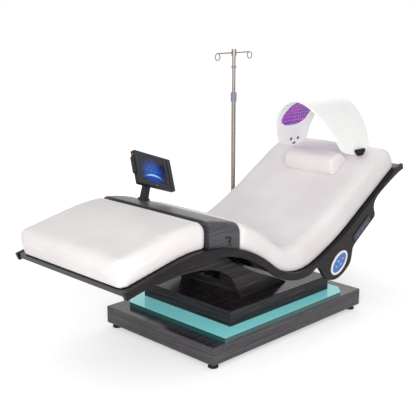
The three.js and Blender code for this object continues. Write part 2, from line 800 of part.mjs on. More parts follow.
function makeFrame() {
  const inner = sideY - plate.thick;
  const outline = plateOutline();
  add("side_plate_near", sidePlate(outline, -sideY, -inner), "darkLaminate");
  add("side_plate_far", sidePlate(outline, inner, sideY), "darkLaminate");

  const half = inner - gap;
  const high = -platform.drop;
  const low = high - platform.thick;
  const board = waveStrip(platform.inset, lounge.length - platform.inset, high, low).reverse();
  add("platform", sidePlate(board, -half, half), "gloss");
  for (const [name, share] of [
    ["foot", batten.footShare],
    ["head", batten.headShare],
  ]) {
    const fromX = at(share) - batten.long / 2;
    const rail = waveStrip(fromX, fromX + batten.long, low - gap, low - gap - batten.thick).reverse();
    add("batten_" + name, sidePlate(rail, -half, half), "laminate");
  }

  const seat = waveStrip(pivotX - hanger.half, pivotX + hanger.half, low - gap, low - gap - hanger.sink);
  const topSide = seat.slice(0, seat.length / 2);
  const drop = [];
  for (let i = 0; i <= hanger.steps; i++) {
    const angle = rad(hanger.fromDegrees + (hanger.turnDegrees * i) / hanger.steps);
    drop.push(point(pivotX + hanger.round * Math.cos(angle), pivotZ + hanger.round * Math.sin(angle)));
  }
  for (const [name, fromY] of [
    ["near", -hanger.outer],
    ["far", hanger.outer - hanger.thick],
  ]) {
    const blade = sidePlate([...topSide, ...drop].reverse(), fromY, fromY + hanger.thick);
    const holeLong = hanger.thick + 2 * over;
    const hole = bar(pivot.shaft + gap, holeLong, pivotX, fromY - over, pivotZ, "y", fineSteps);
    add("pivot_hanger_" + name, cut(blade, hole), "powderCoat");
  }
}

// Cushions and console

const legSpan = { from: legPad.inset, to: bridgeFrom - bridge.joint };
const backSpan = { from: bridgeTo + bridge.joint, to: lounge.length - backPad.inset };

// The line's normal, brought upright where a pad meets the console's upright end.
function padFrame(line, x) {
  const frame = frameAt(line, x);
  const distance = Math.max(bridgeFrom - x, x - bridgeTo, 0);
  const share = THREE.MathUtils.smoothstep(distance, 0, bridge.turn);
  frame.up.lerp(point(0, 1), 1 - share).normalize();
  return frame;
}

// One ring of a cushion: flat below, a seam channel, drawn-in sides, a round shoulder and a crown.
function padRing(half, thick, round, crown) {
  const right = [
    point(half - seam.tuck, 0),
    point(half - seam.tuck / 3, seam.up - seam.half * 2),
    point(half - seam.deep - seam.line, seam.up),
    point(half - seam.tuck / 5, seam.up + seam.half * 2),
    point(half, thick / 2),
  ];
  for (const degrees of [0, 22, 45, 68, 90]) {
    const angle = rad(degrees);
    const y = half - round + round * Math.cos(angle);
    right.push(point(y, thick - round + round * Math.sin(angle)));
  }
  for (const share of [0.7, 0.35]) {
    right.push(point((half - round) * share, thick + crown * (1 - share * share)));
  }
  const left = right.map((place) => point(-place.x, place.y)).reverse();
  return [...right, point(0, thick + crown), ...left, point(0, 0)];
}

// How far an end's rounding draws in at a distance from the end.
function endInset(distance, round) {
  if (distance >= round) return 0;
  return round - Math.sqrt(round * round - (round - Math.max(distance, 0)) ** 2);
}

function padSolid(line, size, span, thickAt) {
  const rings = stations(line, span, size).map((x) => {
    const distance = Math.min(x - span.from, span.to - x);
    const drawn = endInset(distance, size.round);
    const frame = padFrame(line, x);
    const crown = size.crown * Math.min(1, distance / size.round);
    const half = sideY - size.margin - drawn;
    return padRing(half, thickAt(x) - drawn, size.round, crown).map((place) => {
      const on = frame.place.clone().addScaledVector(frame.up, place.y + gap - platform.drop);
      return spot(on.x, place.x, on.y);
    });
  });
  return loft(rings);
}

// The line's own corners between the two rounded ends, with long straight runs split.
function stations(line, span, size) {
  const shares = [0, 0.06, 0.22, 0.5, 1];
  const start = shares.map((share) => span.from + size.round * share);
  const end = shares.map((share) => span.to - size.round * share).reverse();
  const from = start.at(-1);
  const to = end[0];
  const clear = 3 * apart;
  const own = line.map((place) => place.x).filter((x) => x > from + clear && x < to - clear);
  const xs = [];
  let last = from;
  for (const x of [...own, to]) {
    const parts = Math.ceil((x - last) / size.longest);
    for (let i = 1; i < parts; i++) xs.push(last + ((x - last) * i) / parts);
    if (x !== to) xs.push(x);
    last = x;
  }
  return [...start, ...xs, ...end];
}

// The back pad's thickness: shares of its length with shares of its greatest thickness.
const backThickShares = [
  [0, 0.839],
  [0.08, 0.787],
  [0.16, 0.729],
  [0.24, 0.8],
  [0.32, 0.91],
  [0.42, 0.981],
  [0.6, 1],
  [0.75, 0.974],
  [0.88, 0.948],
  [1, 0.794],
];

function backThickAt(x) {
  const share = (x - backSpan.from) / (backSpan.to - backSpan.from);
  return backPad.thick * readShares(backThickShares, share);
}

// The second share of a table at a first share, along straight runs.
function readShares(shares, share) {
  let i = 1;
  while (i < shares.length - 1 && shares[i][0] < share) i++;
  const [fromShare, from] = shares[i - 1];
  const [toShare, to] = shares[i];
  return THREE.MathUtils.lerp(from, to, (share - fromShare) / (toShare - fromShare));
}

function makePads() {
  add("leg_cushion", padSolid(waveLine, legPad, legSpan, () => legPad.thick), "upholstery");
  add("back_cushion", padSolid(padLine, backPad, backSpan, backThickAt), "upholstery");
}

function bridgeTop(x) {
  return onLine(waveLine, x).y + bridge.thick + gap - platform.drop;
}

function makeConsole() {
  const half = sideY - bridge.margin;
  const own = waveLine.map((place) => place.x);
  const inner = own.filter((x) => x > bridgeFrom + apart && x < bridgeTo - apart);
  const rings = [bridgeFrom, ...inner, bridgeTo].map((x) => {
    const z = onLine(waveLine, x).y + gap - platform.drop;
    const creaseUp = bridge.thick - bridge.round;
    const right = [
      point(half, 0),
      point(half, creaseUp - 3 * bridge.creaseHalf),
      point(half - bridge.crease, creaseUp - 2 * bridge.creaseHalf),
      point(half, creaseUp - bridge.creaseHalf),
    ];
    for (const degrees of [0, 18, 36, 54, 72, 90]) {
      const angle = rad(degrees);
      const y = half - bridge.round + bridge.round * Math.cos(angle);
      right.push(point(y, creaseUp + bridge.round * Math.sin(angle)));
    }
    const left = right.map((place) => point(-place.x, place.y)).reverse();
    return [...right, ...left].map((place) => spot(x, place.x, z + place.y));
  });
  add("console", loft(rings), "laminate");

  const x = bridgeX + hook.ahead;
  const group = groupAt(x, -half - gap - hook.radius, bridgeTop(x) - hook.down);
  const { long, drop, off } = hook;
  const path = [
    spot(0, 0, 0),
    spot(long * 0.35, 0, drop * 0.03),
    spot(long * 0.8, 0, -drop * 0.07),
    spot(long * 0.72, 0, -drop * 0.4),
    spot(long * 0.62, -off * 0.4, -drop * 0.75),
    spot(long * 0.66, -off, -drop),
  ];
  const curve = new THREE.CatmullRomCurve3(path);
  add("headset_hook", wire(curve.getPoints(hook.steps), hook.radius), "powderCoat", group);
}

// Tablet on its post

// The post stands square on the console's top, turned about itself, and carries the tablet's hinge.
const postX = bridgeX + post.ahead;
const postSlope = frameAt(waveLine, postX).up;
const postLean = Math.atan2(postSlope.x, postSlope.y);
const postUp = spot(postSlope.x, 0, postSlope.y);
const postFoot = spot(postX, post.y, bridgeTop(postX)).addScaledVector(postUp, 2 * gap);
const postTall = post.tall;
const postGroup = groupAt(postFoot.x, postFoot.y, postFoot.z);
postGroup.rotation.set(0, postLean, rad(tablet.turnDegrees), "YZX");
const headGroup = groupAt(0, 0, postTall, postGroup);
headGroup.rotation.y = rad(tablet.rollDegrees);
headGroup.updateMatrix();
const tiltGroup = groupAt(0, 0, 0, headGroup);
tiltGroup.rotation.x = rad(tablet.tiltDegrees);
const tabletGroup = groupAt(0, 0, hinge.back, tiltGroup);

function makeTablet() {
  const { wide, tall, thick } = tablet;
  let body = slabOf(roundedRect(wide, tall, tablet.round), -thick, thick, ease);
  const grip = box(
    -wide / 2 - tablet.grip,
    -wide / 2 + tablet.gripIn,
    tablet.gripUp - tablet.gripTall / 2,
    tablet.gripUp + tablet.gripTall / 2,
    -tablet.gripTo,
    -tablet.gripFrom,
  );
  body = join(body, grip);
  const screenFrom = tablet.screenShift - tablet.screenWide / 2;
  const screenTo = tablet.screenShift + tablet.screenWide / 2;
  const screenLow = tablet.screenUp - tablet.screenTall / 2;
  const screenHigh = tablet.screenUp + tablet.screenTall / 2;
  const pocket = box(screenFrom - gap, screenTo + gap, screenLow - gap, screenHigh + gap, -tablet.pocket, over);
  const grooveX = wide / 2 - tablet.grooveIn;
  const groove = box(grooveX, grooveX + tablet.groove, -tall, tall, -tablet.grooveDeep, over);
  const homeX = tablet.screenShift + tablet.homeAhead;
  const homeY = tablet.homeUp - tall / 2;
  const homeHole = bar(tablet.home + gap, tablet.homeFloor + over, homeX, homeY, -tablet.homeFloor, "z", smallSteps);
  const redY = tall / 2 - tablet.redDown;
  const redX = -wide / 2 - over;
  const redHole = bar(tablet.red + gap, tablet.redFloor + over, redX, redY, -thick / 2, "x", smallSteps);
  add("tablet_body", cut(body, pocket, groove, homeHole, redHole), "charcoal", tabletGroup);

  const screen = box(screenFrom, screenTo, screenLow, screenHigh, -tablet.pocket + gap, -tablet.sunk);
  add("tablet_screen", screen, "screen", tabletGroup);
  const home = bar(tablet.home, tablet.homeLong, homeX, homeY, -tablet.homeBack, "z", smallSteps);
  add("home_button", home, "steel", tabletGroup);
  const red = bar(tablet.red, tablet.redLong, -wide / 2 - tablet.redOut, redY, -thick / 2, "x", smallSteps);
  add("side_button", red, "red", tabletGroup);

  const backZ = hinge.back - thick - gap - hinge.plateThick;
  const hub = bar(hinge.round, 2 * hinge.half, -hinge.half, 0, 0, "x");
  const arm = box(-hinge.half, hinge.half, -hinge.arm, hinge.arm, 0, backZ + hinge.armIn);
  const backOutline = roundedRect(hinge.plateWide, hinge.plateTall, hinge.plateRound);
  const backPlate = slabOf(backOutline, backZ, hinge.plateThick, hinge.plateSoft);
  const pinHole = bar(hinge.pin + hinge.play, 4 * hinge.half, -2 * hinge.half, 0, 0, "x", smallSteps);
  add("tablet_head", cut(join(hub, arm, backPlate), pinHole), "powderCoat", tiltGroup);

  add("tablet_post", makePost(), "charcoal", postGroup);
  const disc = slabOf(roundedRect(sole.wide, sole.deep, sole.round), 0, sole.tall, ease);
  add("tablet_foot", disc, "charcoal", postGroup);
}

// A flat column that narrows upward, with two ears and a pin for the tablet's head.
function makePost() {
  const from = sole.tall + gap;
  const saddle = postTall - hinge.round - hinge.saddle;
  const sections = [
    [from, post.wide + 2 * post.skirt],
    [from + post.skirtTall, post.wide],
    [saddle, post.topWide],
  ];
  const rings = sections.map(([z, wide]) =>
    roundedRect(wide, post.deep, post.round, 2).map((place) => spot(place.x, place.y, z)),
  );
  const front = -post.deep / 2;
  const groove = box(-post.groove, post.groove, front - over, front + post.groove, from + post.grooveFrom, postTall);
  const inner = hinge.half + gap;
  const room = bar(hinge.round + hinge.room, 2 * inner, -inner, 0, 0, "x");
  const earLow = -hinge.round - hinge.saddle - hinge.earRound;
  const ears = [-inner - hinge.ear, inner].map((x) =>
    join(
      bar(hinge.earRound, hinge.ear, x, 0, 0, "x"),
      box(x, x + hinge.ear, -hinge.earRound, hinge.earRound, earLow, 0),
    ),
  );
  const pinHalf = inner + hinge.pinOut;
  const pin = bar(hinge.pin, 2 * pinHalf, -pinHalf, 0, 0, "x", smallSteps);
  const head = moved(join(...ears, pin), headGroup.matrix);
  return join(cut(loft(rings), groove, moved(room, headGroup.matrix)), head);
}

// Keypad on the near plate, and the strip of keys above it

// A group on the near plate's outer face with X along the back, Y up it and Z outward.
function nearGroup(x, down, degrees) {
  const group = groupAt(x, -sideY - gap, onLine(waveLine, x).y - down);
  group.rotation.set(Math.PI / 2, -rad(degrees), 0, "YXZ");
  return group;
}

function ovalSlab(wide, tall, fromZ, thick) {
  const curve = new THREE.EllipseCurve(0, 0, wide / 2, tall / 2);
  return slabOf(curve.getPoints(28).slice(0, -1), fromZ, thick, 0);
}

// The keys' places as shares of half the face's length and height, with their paints.
const keyShares = [
  [-0.46, 0.06, "white"],
  [-0.04, 0.36, "orange"],
  [0.06, -0.36, "white"],
  [0.48, 0.02, "green"],
];

function makeKeypad() {
  const group = nearGroup(at(keypad.share), keypad.down, keypad.tiltDegrees);
  const innerLong = keypad.long - 2 * keypad.ring;
  const innerTall = keypad.tall - 2 * keypad.ring;
  const middle = ovalSlab(innerLong, innerTall, -over, keypad.proud + 2 * over);
  add("keypad_ring", cut(ovalSlab(keypad.long, keypad.tall, 0, keypad.proud), middle), "white", group);

  const thick = keypad.proud - keypad.faceDrop;
  let face = ovalSlab(innerLong - 2 * gap, innerTall - 2 * gap, 0, thick);
  keyShares.forEach(([along, up, paint], i) => {
    const x = (along * innerLong) / 2;
    const y = (up * innerTall) / 2;
    face = cut(face, bar(keypad.key + gap, thick, x, y, keypad.floor, "z", smallSteps));
    const back = keypad.floor + keypad.travel;
    const key = bar(keypad.key, thick - keypad.floor, x, y, back, "z", smallSteps);
    add("keypad_key_" + (i + 1), key, paint, group);
  });
  add("keypad_face", face, "blueKeys", group);
}

function makeStrip() {
  const group = nearGroup(at(strip.share), strip.down, strip.turnDegrees);
  const endX = at(neckShares[0][0]) - at(lobeShares.at(-1)[0]) - 2 * strip.margin;
  const half = endX / 2;
  const high = strip.tall / 2;
  const snip = strip.snip;
  const outline = [
    point(-half, -high),
    point(half - snip, -high),
    point(half, -high + snip),
    point(half, high),
    point(-half + snip, high),
    point(-half, high - snip),
  ];
  let panel = slabOf(outline, 0, strip.proud, strip.soft);
  const holeX = strip.key / 2 + gap;
  const holeY = strip.keyTall / 2 + gap;
  for (let i = 0; i < 3; i++) {
    const x = (i - 1) * strip.keyStep;
    panel = cut(panel, box(x - holeX, x + holeX, -holeY, holeY, strip.floor, strip.proud + over));
    const key = slabOf(roundedRect(strip.key, strip.keyTall, strip.keyRound, 2), strip.keyBack, strip.keyThick);
    add("strip_key_" + (i + 1), shifted(key, x, 0, 0), "blueKeys", group);
  }
  add("strip_panel", panel, "gloss", group);
}

// Pillow and light arch on the back cushion

function padTop(x) {
  const frame = padFrame(padLine, x);
  return frame.place.addScaledVector(frame.up, backThickAt(x) + gap - platform.drop + backPad.crown);
}

// How much lower than its middle the back cushion's top is, some way out to the side.
function crownDrop(aside) {
  const share = Math.min(1, Math.abs(aside) / (sideY - backPad.margin - backPad.round));
  return backPad.crown * share * share;
}

// Where the back cushion's top reaches a height or a place: x along the line it is built on.
function padStation(reached) {
  let from = (backSpan.from + backSpan.to) / 2;
  let to = backSpan.to;
  for (let i = 0; i < 30; i++) {
    const middle = (from + to) / 2;
    if (reached(padTop(middle))) to = middle;
    else from = middle;
  }
  return padTop(from);
}

// The pillow's section: shares of its length with shares of its height.
const pillowShares = [
  [0, 0],
  [0.5, 0],
  [1, 0],
  [1.04, 0.06],
  [1.05, 0.2],
  [1.02, 0.42],
  [0.93, 0.68],
  [0.78, 0.88],
  [0.6, 0.98],
  [0.42, 1],
  [0.24, 0.95],
  [0.1, 0.8],
  [0, 0.55],
  [-0.04, 0.28],
  [-0.03, 0.08],
];

function makePillow() {
  const { long, half, tall, crown } = pillow;
  const base = at(pillow.share);
  const from = padTop(base);
  const along = padTop(base + long).sub(from).normalize();
  const up = point(-along.y, along.x);
  let lift = gap;
  for (let share = 0; share <= 1; share += 0.05) {
    const rise = padTop(base + share * long).sub(from).dot(up);
    lift = Math.max(lift, rise + gap - pillow.settle);
  }
  const sideShares = [-1, -0.975, -0.9, -0.72, -0.4, 0, 0.4, 0.72, 0.9, 0.975, 1];
  const rings = sideShares.map((share) => {
    const edge = Math.sqrt(Math.max(0, 1 - Math.max(0, (Math.abs(share) - 0.9) / 0.1) ** 2));
    const full = 0.9 + 0.1 * edge;
    const swell = crown * (1 - share * share);
    return pillowShares.map(([a, b]) => {
      const ahead = (0.5 + (a - 0.5) * full) * long;
      const height = b * tall * full + (b > 0.5 ? swell : 0);
      const place = from.clone().addScaledVector(along, ahead).addScaledVector(up, height + lift);
      return spot(place.x, pillow.y + share * half, place.y);
    });
  });
  add("pillow", loft(rings), "upholstery");
}

const domeLegX = domeX + dome.legShare * dome.long;
const domeEndZ = padStation((place) => place.x > domeLegX).y + dome.legOver;

// The arch's middle line across the lounge, Y and Z, in a section between half an ellipse and a peak.
const archCurve = (() => {
  const places = [];
  for (let degrees = -90; degrees <= 90; degrees += 5) {
    const side = Math.sin(rad(degrees));
    const aside = Math.sign(side) * Math.abs(side) ** (2 / dome.power);
    const up = Math.abs(Math.cos(rad(degrees))) ** (2 / dome.power);
    places.push(point(dome.y + aside * dome.half, domeEndZ + up * dome.tall));
  }
  return new THREE.SplineCurve(places);
})();

// A place on the arch, a share of the way from its crest (0) to a leg's end (1, or -1 near).
function onArch(share, off = 0) {
  const along = archCurve.getTangentAt((share + 1) / 2);
  const out = point(-along.y, along.x);
  return { place: archCurve.getPointAt((share + 1) / 2).addScaledVector(out, off), out, along };
}

// Where the arch's edges lie: shares of its run down a leg with shares of its own length.
const domeFrontShares = [
  [0, 0],
  [0.17, 0.011],
  [0.35, 0.043],
  [0.52, 0.105],
  [0.7, 0.2],
  [0.82, 0.262],
  [0.905, 0.311],
  [0.935, 0.37],
  [0.956, 0.445],
  [0.975, 0.52],
  [0.988, 0.573],
  [1, 0.67],
];
const domeBackShares = [
  [0, 1],
  [0.6, 0.997],
  [0.9, 0.985],
  [0.935, 0.968],
  [0.956, 0.946],
  [0.975, 0.9],
  [0.99, 0.838],
  [1, 0.77],
];
const archShareSteps = 20;
const legShares = [0.93, 0.955, 0.972, 0.988, 1];

function domeShares() {
  const half = [];
  for (let i = 0; i <= 0.9 * archShareSteps; i++) half.push(i / archShareSteps);
  half.push(...legShares);
  return [...half.slice(1).map((share) => -share).reverse(), ...half];
}

// The span of the arch in X at a share of its run, kept clear of the cushion under it.
function domeSpan(share) {
  const run = Math.abs(share);
  const { place } = onArch(share);
  const drop = crownDrop(place.x);
  const onPad = padStation((top) => top.y - drop > place.y - dome.rest).x;
  const from = domeX + readShares(domeFrontShares, run) * dome.long;
  const to = domeX + readShares(domeBackShares, run) * dome.long;
  return [from, Math.max(Math.min(to, onPad), from + 4 * dome.soft)];
}

// A band along the arch between two offsets from its middle line, its long edges eased.
function archBand(shares, spanAt, high, low, soft) {
  const rings = shares.map((share) => {
    const [from, to] = spanAt(share);
    const corners = [
      [from + soft, high],
      [to - soft, high],
      [to, high - soft],
      [to, low + soft],
      [to - soft, low],
      [from + soft, low],
      [from, low + soft],
      [from, high - soft],
    ];
    return corners.map(([x, off]) => {
      const { place } = onArch(share, off);
      return spot(x, place.x, place.y);
    });
  });
  return loft(rings);
}

function makeDome() {
  const half = dome.thick / 2;
  const shares = domeShares();
  add("light_shell", archBand(shares, domeSpan, half, -half, dome.soft), "white");

  const reach = lightPanel.reachSteps / archShareSteps;
  const runLong = archCurve.getLength() / 2;
  const litSpan = (share) => {
    const drawn = endInset((reach - Math.abs(share)) * runLong, lightPanel.round);
    return [domeX + lightPanel.front + drawn, domeX + dome.long - lightPanel.back - drawn];
  };
  const lit = shares.filter((share) => Math.abs(share) < reach + over / archShareSteps / 2);
  const high = -half - gap;
  const soft = lightPanel.thick / 3;
  add("light_panel", archBand(lit, litSpan, high, high - lightPanel.thick, soft), "violet");

  // Press studs on the far leg's inner face.
  const seat = onArch(stud.upShare, -half - gap - stud.tall / 2);
  [-1, 1].forEach((side, i) => {
    const x = domeX + stud.alongShare * dome.long + (side * stud.apart) / 2;
    const group = groupAt(x, seat.place.x, seat.place.y);
    group.rotation.x = Math.atan2(seat.out.y, seat.out.x) - Math.PI / 2;
    const button = bar(stud.radius, stud.tall, 0, 0, -stud.tall / 2, "z", smallSteps);
    add("press_stud_" + (i + 1), button, "powderCoat", group);
  });

  // The plug on the near leg's outer face, upright, with its top above the leg's end.
  const plugY = dome.y - dome.half - half - gap;
  const group = groupAt(domeX + plug.ahead, plugY, domeEndZ + plug.over);
  group.rotation.x = Math.PI / 2;
  const outline = [
    point(-plug.wide / 2, -plug.shoulder),
    point(-plug.footWide / 2, -plug.tall),
    point(plug.footWide / 2, -plug.tall),
    point(plug.wide / 2, -plug.shoulder),
    point(plug.wide / 2, 0),
    point(-plug.wide / 2, 0),
  ];
  add("light_plug", slabOf(outline, 0, plug.deep, plug.soft), "charcoal", group);
}

// Infusion pole, in a group whose Z is the pole's axis

function makePole() {
  const group = groupAt(poleX, poleY, 0);
  const wall = lowerPlinth.half + gap - poleY;
  const fromZ = lowerPlinth.z + socket.up;
  const toZ = fromZ + socket.tall;
  const { plateHalf, armHalf, armIn } = socket;
  const backing = box(-plateHalf, plateHalf, wall, wall + socket.plateThick, fromZ + socket.plateUp, toZ);
  const arm = box(-armHalf, armHalf, wall + over, 0, fromZ + armIn, toZ - armIn);
  const cup = bar(socket.radius, socket.tall, 0, 0, fromZ);
  const bore = bar(pole.outer + gap, socket.tall, 0, 0, pole.baseZ);
  add("pole_socket", cut(join(backing, arm, cup), bore), "powderCoat", group);

  const from = pole.baseZ + gap;
  const lower = bar(pole.outer, pole.topZ - from, 0, 0, from);
  const hollow = bar(pole.bore, pole.topZ - from, 0, 0, from + pole.floor);
  add("pole_lower", cut(lower, hollow), "steel", group);

  const collar = bar(pole.collar, pole.collarTall, 0, 0, pole.collarZ);
  const wide = bar(pole.outer + gap, pole.topZ + gap - pole.collarZ + over, 0, 0, pole.collarZ - over);
  const narrow = bar(pole.bore, pole.collarTall * 2, 0, 0, pole.collarZ - over);
  let grip = cut(collar, wide, narrow);
  for (let i = 0; i < pole.flutes; i++) {
    const angle = (2 * Math.PI * i) / pole.flutes;
    const x = (pole.collar + pole.fluteOut) * Math.cos(angle);
    const y = (pole.collar + pole.fluteOut) * Math.sin(angle);
    const long = pole.collarTall - 2 * pole.fluteIn;
    grip = cut(grip, bar(pole.flute, long, x, y, pole.collarZ + pole.fluteIn, "z", 6));
  }
  add("pole_collar", grip, "lavender", group);

  const upper = bar(pole.inner, pole.innerTopZ - pole.innerFromZ, 0, 0, pole.innerFromZ);
  add("pole_upper", upper, "steel", group);
  const ring = bar(pole.ring, pole.ringTall, 0, 0, pole.ringZ);
  const ringBore = bar(pole.inner + gap, pole.ringTall + 2 * over, 0, 0, pole.ringZ - over);
  add("pole_ring", cut(ring, ringBore), "lavender", group);
  add("hook_bar", makeHooks(), "steel", group);
}

// The hub with a bar across it and a hanging ring at each end.
function makeHooks() {
  const { z, half, loop } = hooks;
  const hubZ = z - hooks.hubUnder;
  const hub = bar(hooks.hub, hooks.hubTall, 0, 0, hubZ);
  const cross = bar(hooks.bar, 2 * half, -half, 0, z, "x", smallSteps);
  const gussets = [-1, 1].map((side) => {
    const outline = [
      point(0, z - hooks.gussetDown),
      point(side * hooks.gussetLong, z),
      point(0, z + hooks.gussetUp),
    ];
    if (side < 0) outline.reverse();
    return sidePlate(outline, -hooks.gussetHalf, hooks.gussetHalf);
  });
  const loops = [-1, 1].map((side) => {
    const places = [];
    for (let i = 0; i <= hooks.loopSteps; i++) {
      const angle = Math.PI / 2 - side * rad((hooks.loopDegrees * i) / hooks.loopSteps);
      places.push(spot(side * half + loop * Math.cos(angle), 0, z - loop + loop * Math.sin(angle)));
    }
    return wire(places, hooks.loopWire, 8);
  });
  const bore = bar(pole.inner + gap, pole.innerTopZ + gap - hubZ + over, 0, 0, hubZ - over);
  return cut(join(hub, cross, ...gussets, ...loops), bore);
}

makePedestal();
makeBrackets();
makeTilt();
makeRam();
makeElectrics();
makeFrame();
makePads();
makeConsole();
makeTablet();
makeKeypad();
makeStrip();
makePillow();
makeDome();
makePole();

// The origin lies under the middle of the whole, on the floor.
const bounds = new THREE.Box3().setFromObject(root);
const middle = bounds.getCenter(spot(0, 0, 0));
root.position.set(-middle.x, -middle.y, -bounds.min.z);

export default root;
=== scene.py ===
import math
import bmesh
import bpy
from mathutils import Matrix, Vector
from mathutils.bvhtree import BVHTree


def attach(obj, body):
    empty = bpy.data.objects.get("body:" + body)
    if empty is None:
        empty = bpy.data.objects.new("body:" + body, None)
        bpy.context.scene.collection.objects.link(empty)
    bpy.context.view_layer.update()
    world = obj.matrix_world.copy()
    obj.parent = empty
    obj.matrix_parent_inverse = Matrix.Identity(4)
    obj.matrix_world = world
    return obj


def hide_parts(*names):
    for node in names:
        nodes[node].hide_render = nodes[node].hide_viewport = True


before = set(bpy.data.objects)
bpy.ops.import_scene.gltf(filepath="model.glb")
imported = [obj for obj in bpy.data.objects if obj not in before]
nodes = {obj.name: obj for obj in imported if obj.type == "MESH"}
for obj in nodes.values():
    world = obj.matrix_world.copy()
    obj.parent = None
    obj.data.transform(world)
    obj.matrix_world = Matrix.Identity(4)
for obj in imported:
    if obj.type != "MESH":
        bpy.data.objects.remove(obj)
scene = bpy.context.scene
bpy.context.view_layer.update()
print("frame loaded with", len(nodes), "parts")


# Camera: a long lens at eye height, off the near foot-end corner

cameraSet = {
    "place": (-3.0059, -2.8819, 1.6510),
    "down": 13.94,  # degrees
    "turn": -45.11,
    "lens": 71.58,  # mm on a 36 mm sensor
}
cameraData = bpy.data.cameras.new("studioCamera")
cameraData.lens = cameraSet["lens"]
cameraData.sensor_width = 36
camera = bpy.data.objects.new("studioCamera", cameraData)
camera.location = cameraSet["place"]
camera.rotation_euler = (
    math.radians(90 - cameraSet["down"]),
    0,
    math.radians(cameraSet["turn"]),
)
scene.collection.objects.link(camera)
scene.camera = camera
scene.view_settings.view_transform = "Standard"
print("camera placed")


# Materials

def linear(hexColour):
    parts = [int(hexColour[i:i + 2], 16) / 255 for i in (1, 3, 5)]
    parts = [p / 12.92 if p <= 0.04045 else ((p + 0.055) / 1.055) ** 2.4 for p in parts]
    return (*parts, 1.0)


def newMaterial(name):
    material = bpy.data.materials.new(name)
    material.use_nodes = True
    material.node_tree.nodes.clear()
    return material, material.node_tree


def addNode(tree, kind, inputs=None, stops=None, **settings):
    node = tree.nodes.new(kind)
    for key, value in settings.items():
        setattr(node, key, value)
    for key, value in (inputs or {}).items():
        socket = node.inputs[key]
        if isinstance(value, bpy.types.NodeSocket):
            tree.links.new(value, socket)
        else:
            socket.default_value = value
    if stops:
        ramp = node.color_ramp.elements
        while len(ramp) < len(stops):
            ramp.new(0.5)
        for step, (place, colour) in zip(ramp, stops):
            step.position = place
            step.color = linear(colour)
    return node


def addMath(tree, operation, *values):
    return addNode(tree, "ShaderNodeMath", dict(enumerate(values)), operation=operation).outputs[0]


def addRange(tree, value, fromEnds=(0, 1), toEnds=(0, 1), kind="LINEAR"):
    ends = {
        "Value": value,
        "From Min": fromEnds[0], "From Max": fromEnds[1],
        "To Min": toEnds[0], "To Max": toEnds[1],
    }
    return addNode(tree, "ShaderNodeMapRange", ends, interpolation_type=kind).outputs[0]


def finishMaterial(tree, shader):
    addNode(tree, "ShaderNodeOutputMaterial", {"Surface": shader.outputs[0]})


# Upholstery: polyurethane-coated vinyl, drawn tight over foam. A satin skin with a fine
# pebble grain, so highlights are broad and soft. Real grain is about 1 mm; it is drawn
# at 3 mm so that it shows.
vinylSet = {
    "colour": "#ece7e7", "worn": "#e5dfdf",
    "patches": 4.0,  # to the metre
    "wornUpTo": 0.35, "freshFrom": 0.6,
    "grain": 0.003, "uneven": 0.9,
    "bump": 0.05, "deep": 0.0004,
    "rough": (0.41, 0.53), "sheen": 0.08, "sheenRough": 0.4,
}


def makeVinyl():
    look = vinylSet
    material, tree = newMaterial("satinVinyl")
    place = addNode(tree, "ShaderNodeTexCoord").outputs["Object"]
    drift = addNode(
        tree, "ShaderNodeTexNoise", {"Vector": place, "Scale": look["patches"], "Detail": 3.0},
    ).outputs[0]
    colour = addNode(
        tree, "ShaderNodeValToRGB", {"Fac": drift},
        stops=[(look["wornUpTo"], look["worn"]), (look["freshFrom"], look["colour"])],
    )
    grain = addNode(
        tree, "ShaderNodeTexVoronoi",
        {"Vector": place, "Scale": 1 / look["grain"], "Randomness": look["uneven"]},
        feature="SMOOTH_F1",
    )
    bump = addNode(
        tree, "ShaderNodeBump",
        {"Height": grain.outputs["Distance"], "Strength": look["bump"], "Distance": look["deep"]},
    )
    shader = addNode(
        tree, "ShaderNodeBsdfPrincipled",
        {"Base Color": colour.outputs[0], "Roughness": addRange(tree, drift, toEnds=look["rough"]),
         "IOR": 1.5, "Sheen Weight": look["sheen"], "Sheen Roughness": look["sheenRough"],
         "Normal": bump.outputs[0]},
    )
    finishMaterial(tree, shader)
    return material


# High-pressure laminate with a smoked straight grain, pressed and polished. The eye
# sees long thin pale and dark streaks under a clear gloss. The streaks are 1 to 6 mm
# wide and run for 80 to 330 mm, level on every upright face and along on the tops.
grainSet = {
    "along": 3.0, "across": 190.0,  # streaks to the metre
    "layers": [(1.0, 2.0), (4.0, 3.0)],  # how much finer, and the detail
    "fineShare": 0.4,
    "topFrom": 0.7,  # of the normal's height
    "stops": (0.34, 0.5, 0.66),
    "duller": 0.06, "shinier": 0.04,
}
laminateSets = {
    "smokedLaminate": {
        "dark": "#1d1a1d", "mid": "#3a363b", "pale": "#5c575e", "rough": 0.16, "shine": 0.42,
    },
    # the upper block stands in the lounge's shade: this copy's darker colours are painted shade, with less
    # of a polish on it
    "paintedShadeLaminate": {
        "dark": "#120f11", "mid": "#2a2629", "pale": "#494449", "rough": 0.2, "shine": 0.14,
    },
    # the plates and battens under the lounge's edge: colours darker still, painted shade of its overhang
    "paintedShadePlateLaminate": {
        "dark": "#0b090a", "mid": "#191517", "pale": "#2c2629", "rough": 0.3, "shine": 0.16,
    },
    "consoleLaminate": {
        "dark": "#2a292e", "mid": "#3e3c42", "pale": "#535158", "rough": 0.36, "shine": 0.4,
    },
}


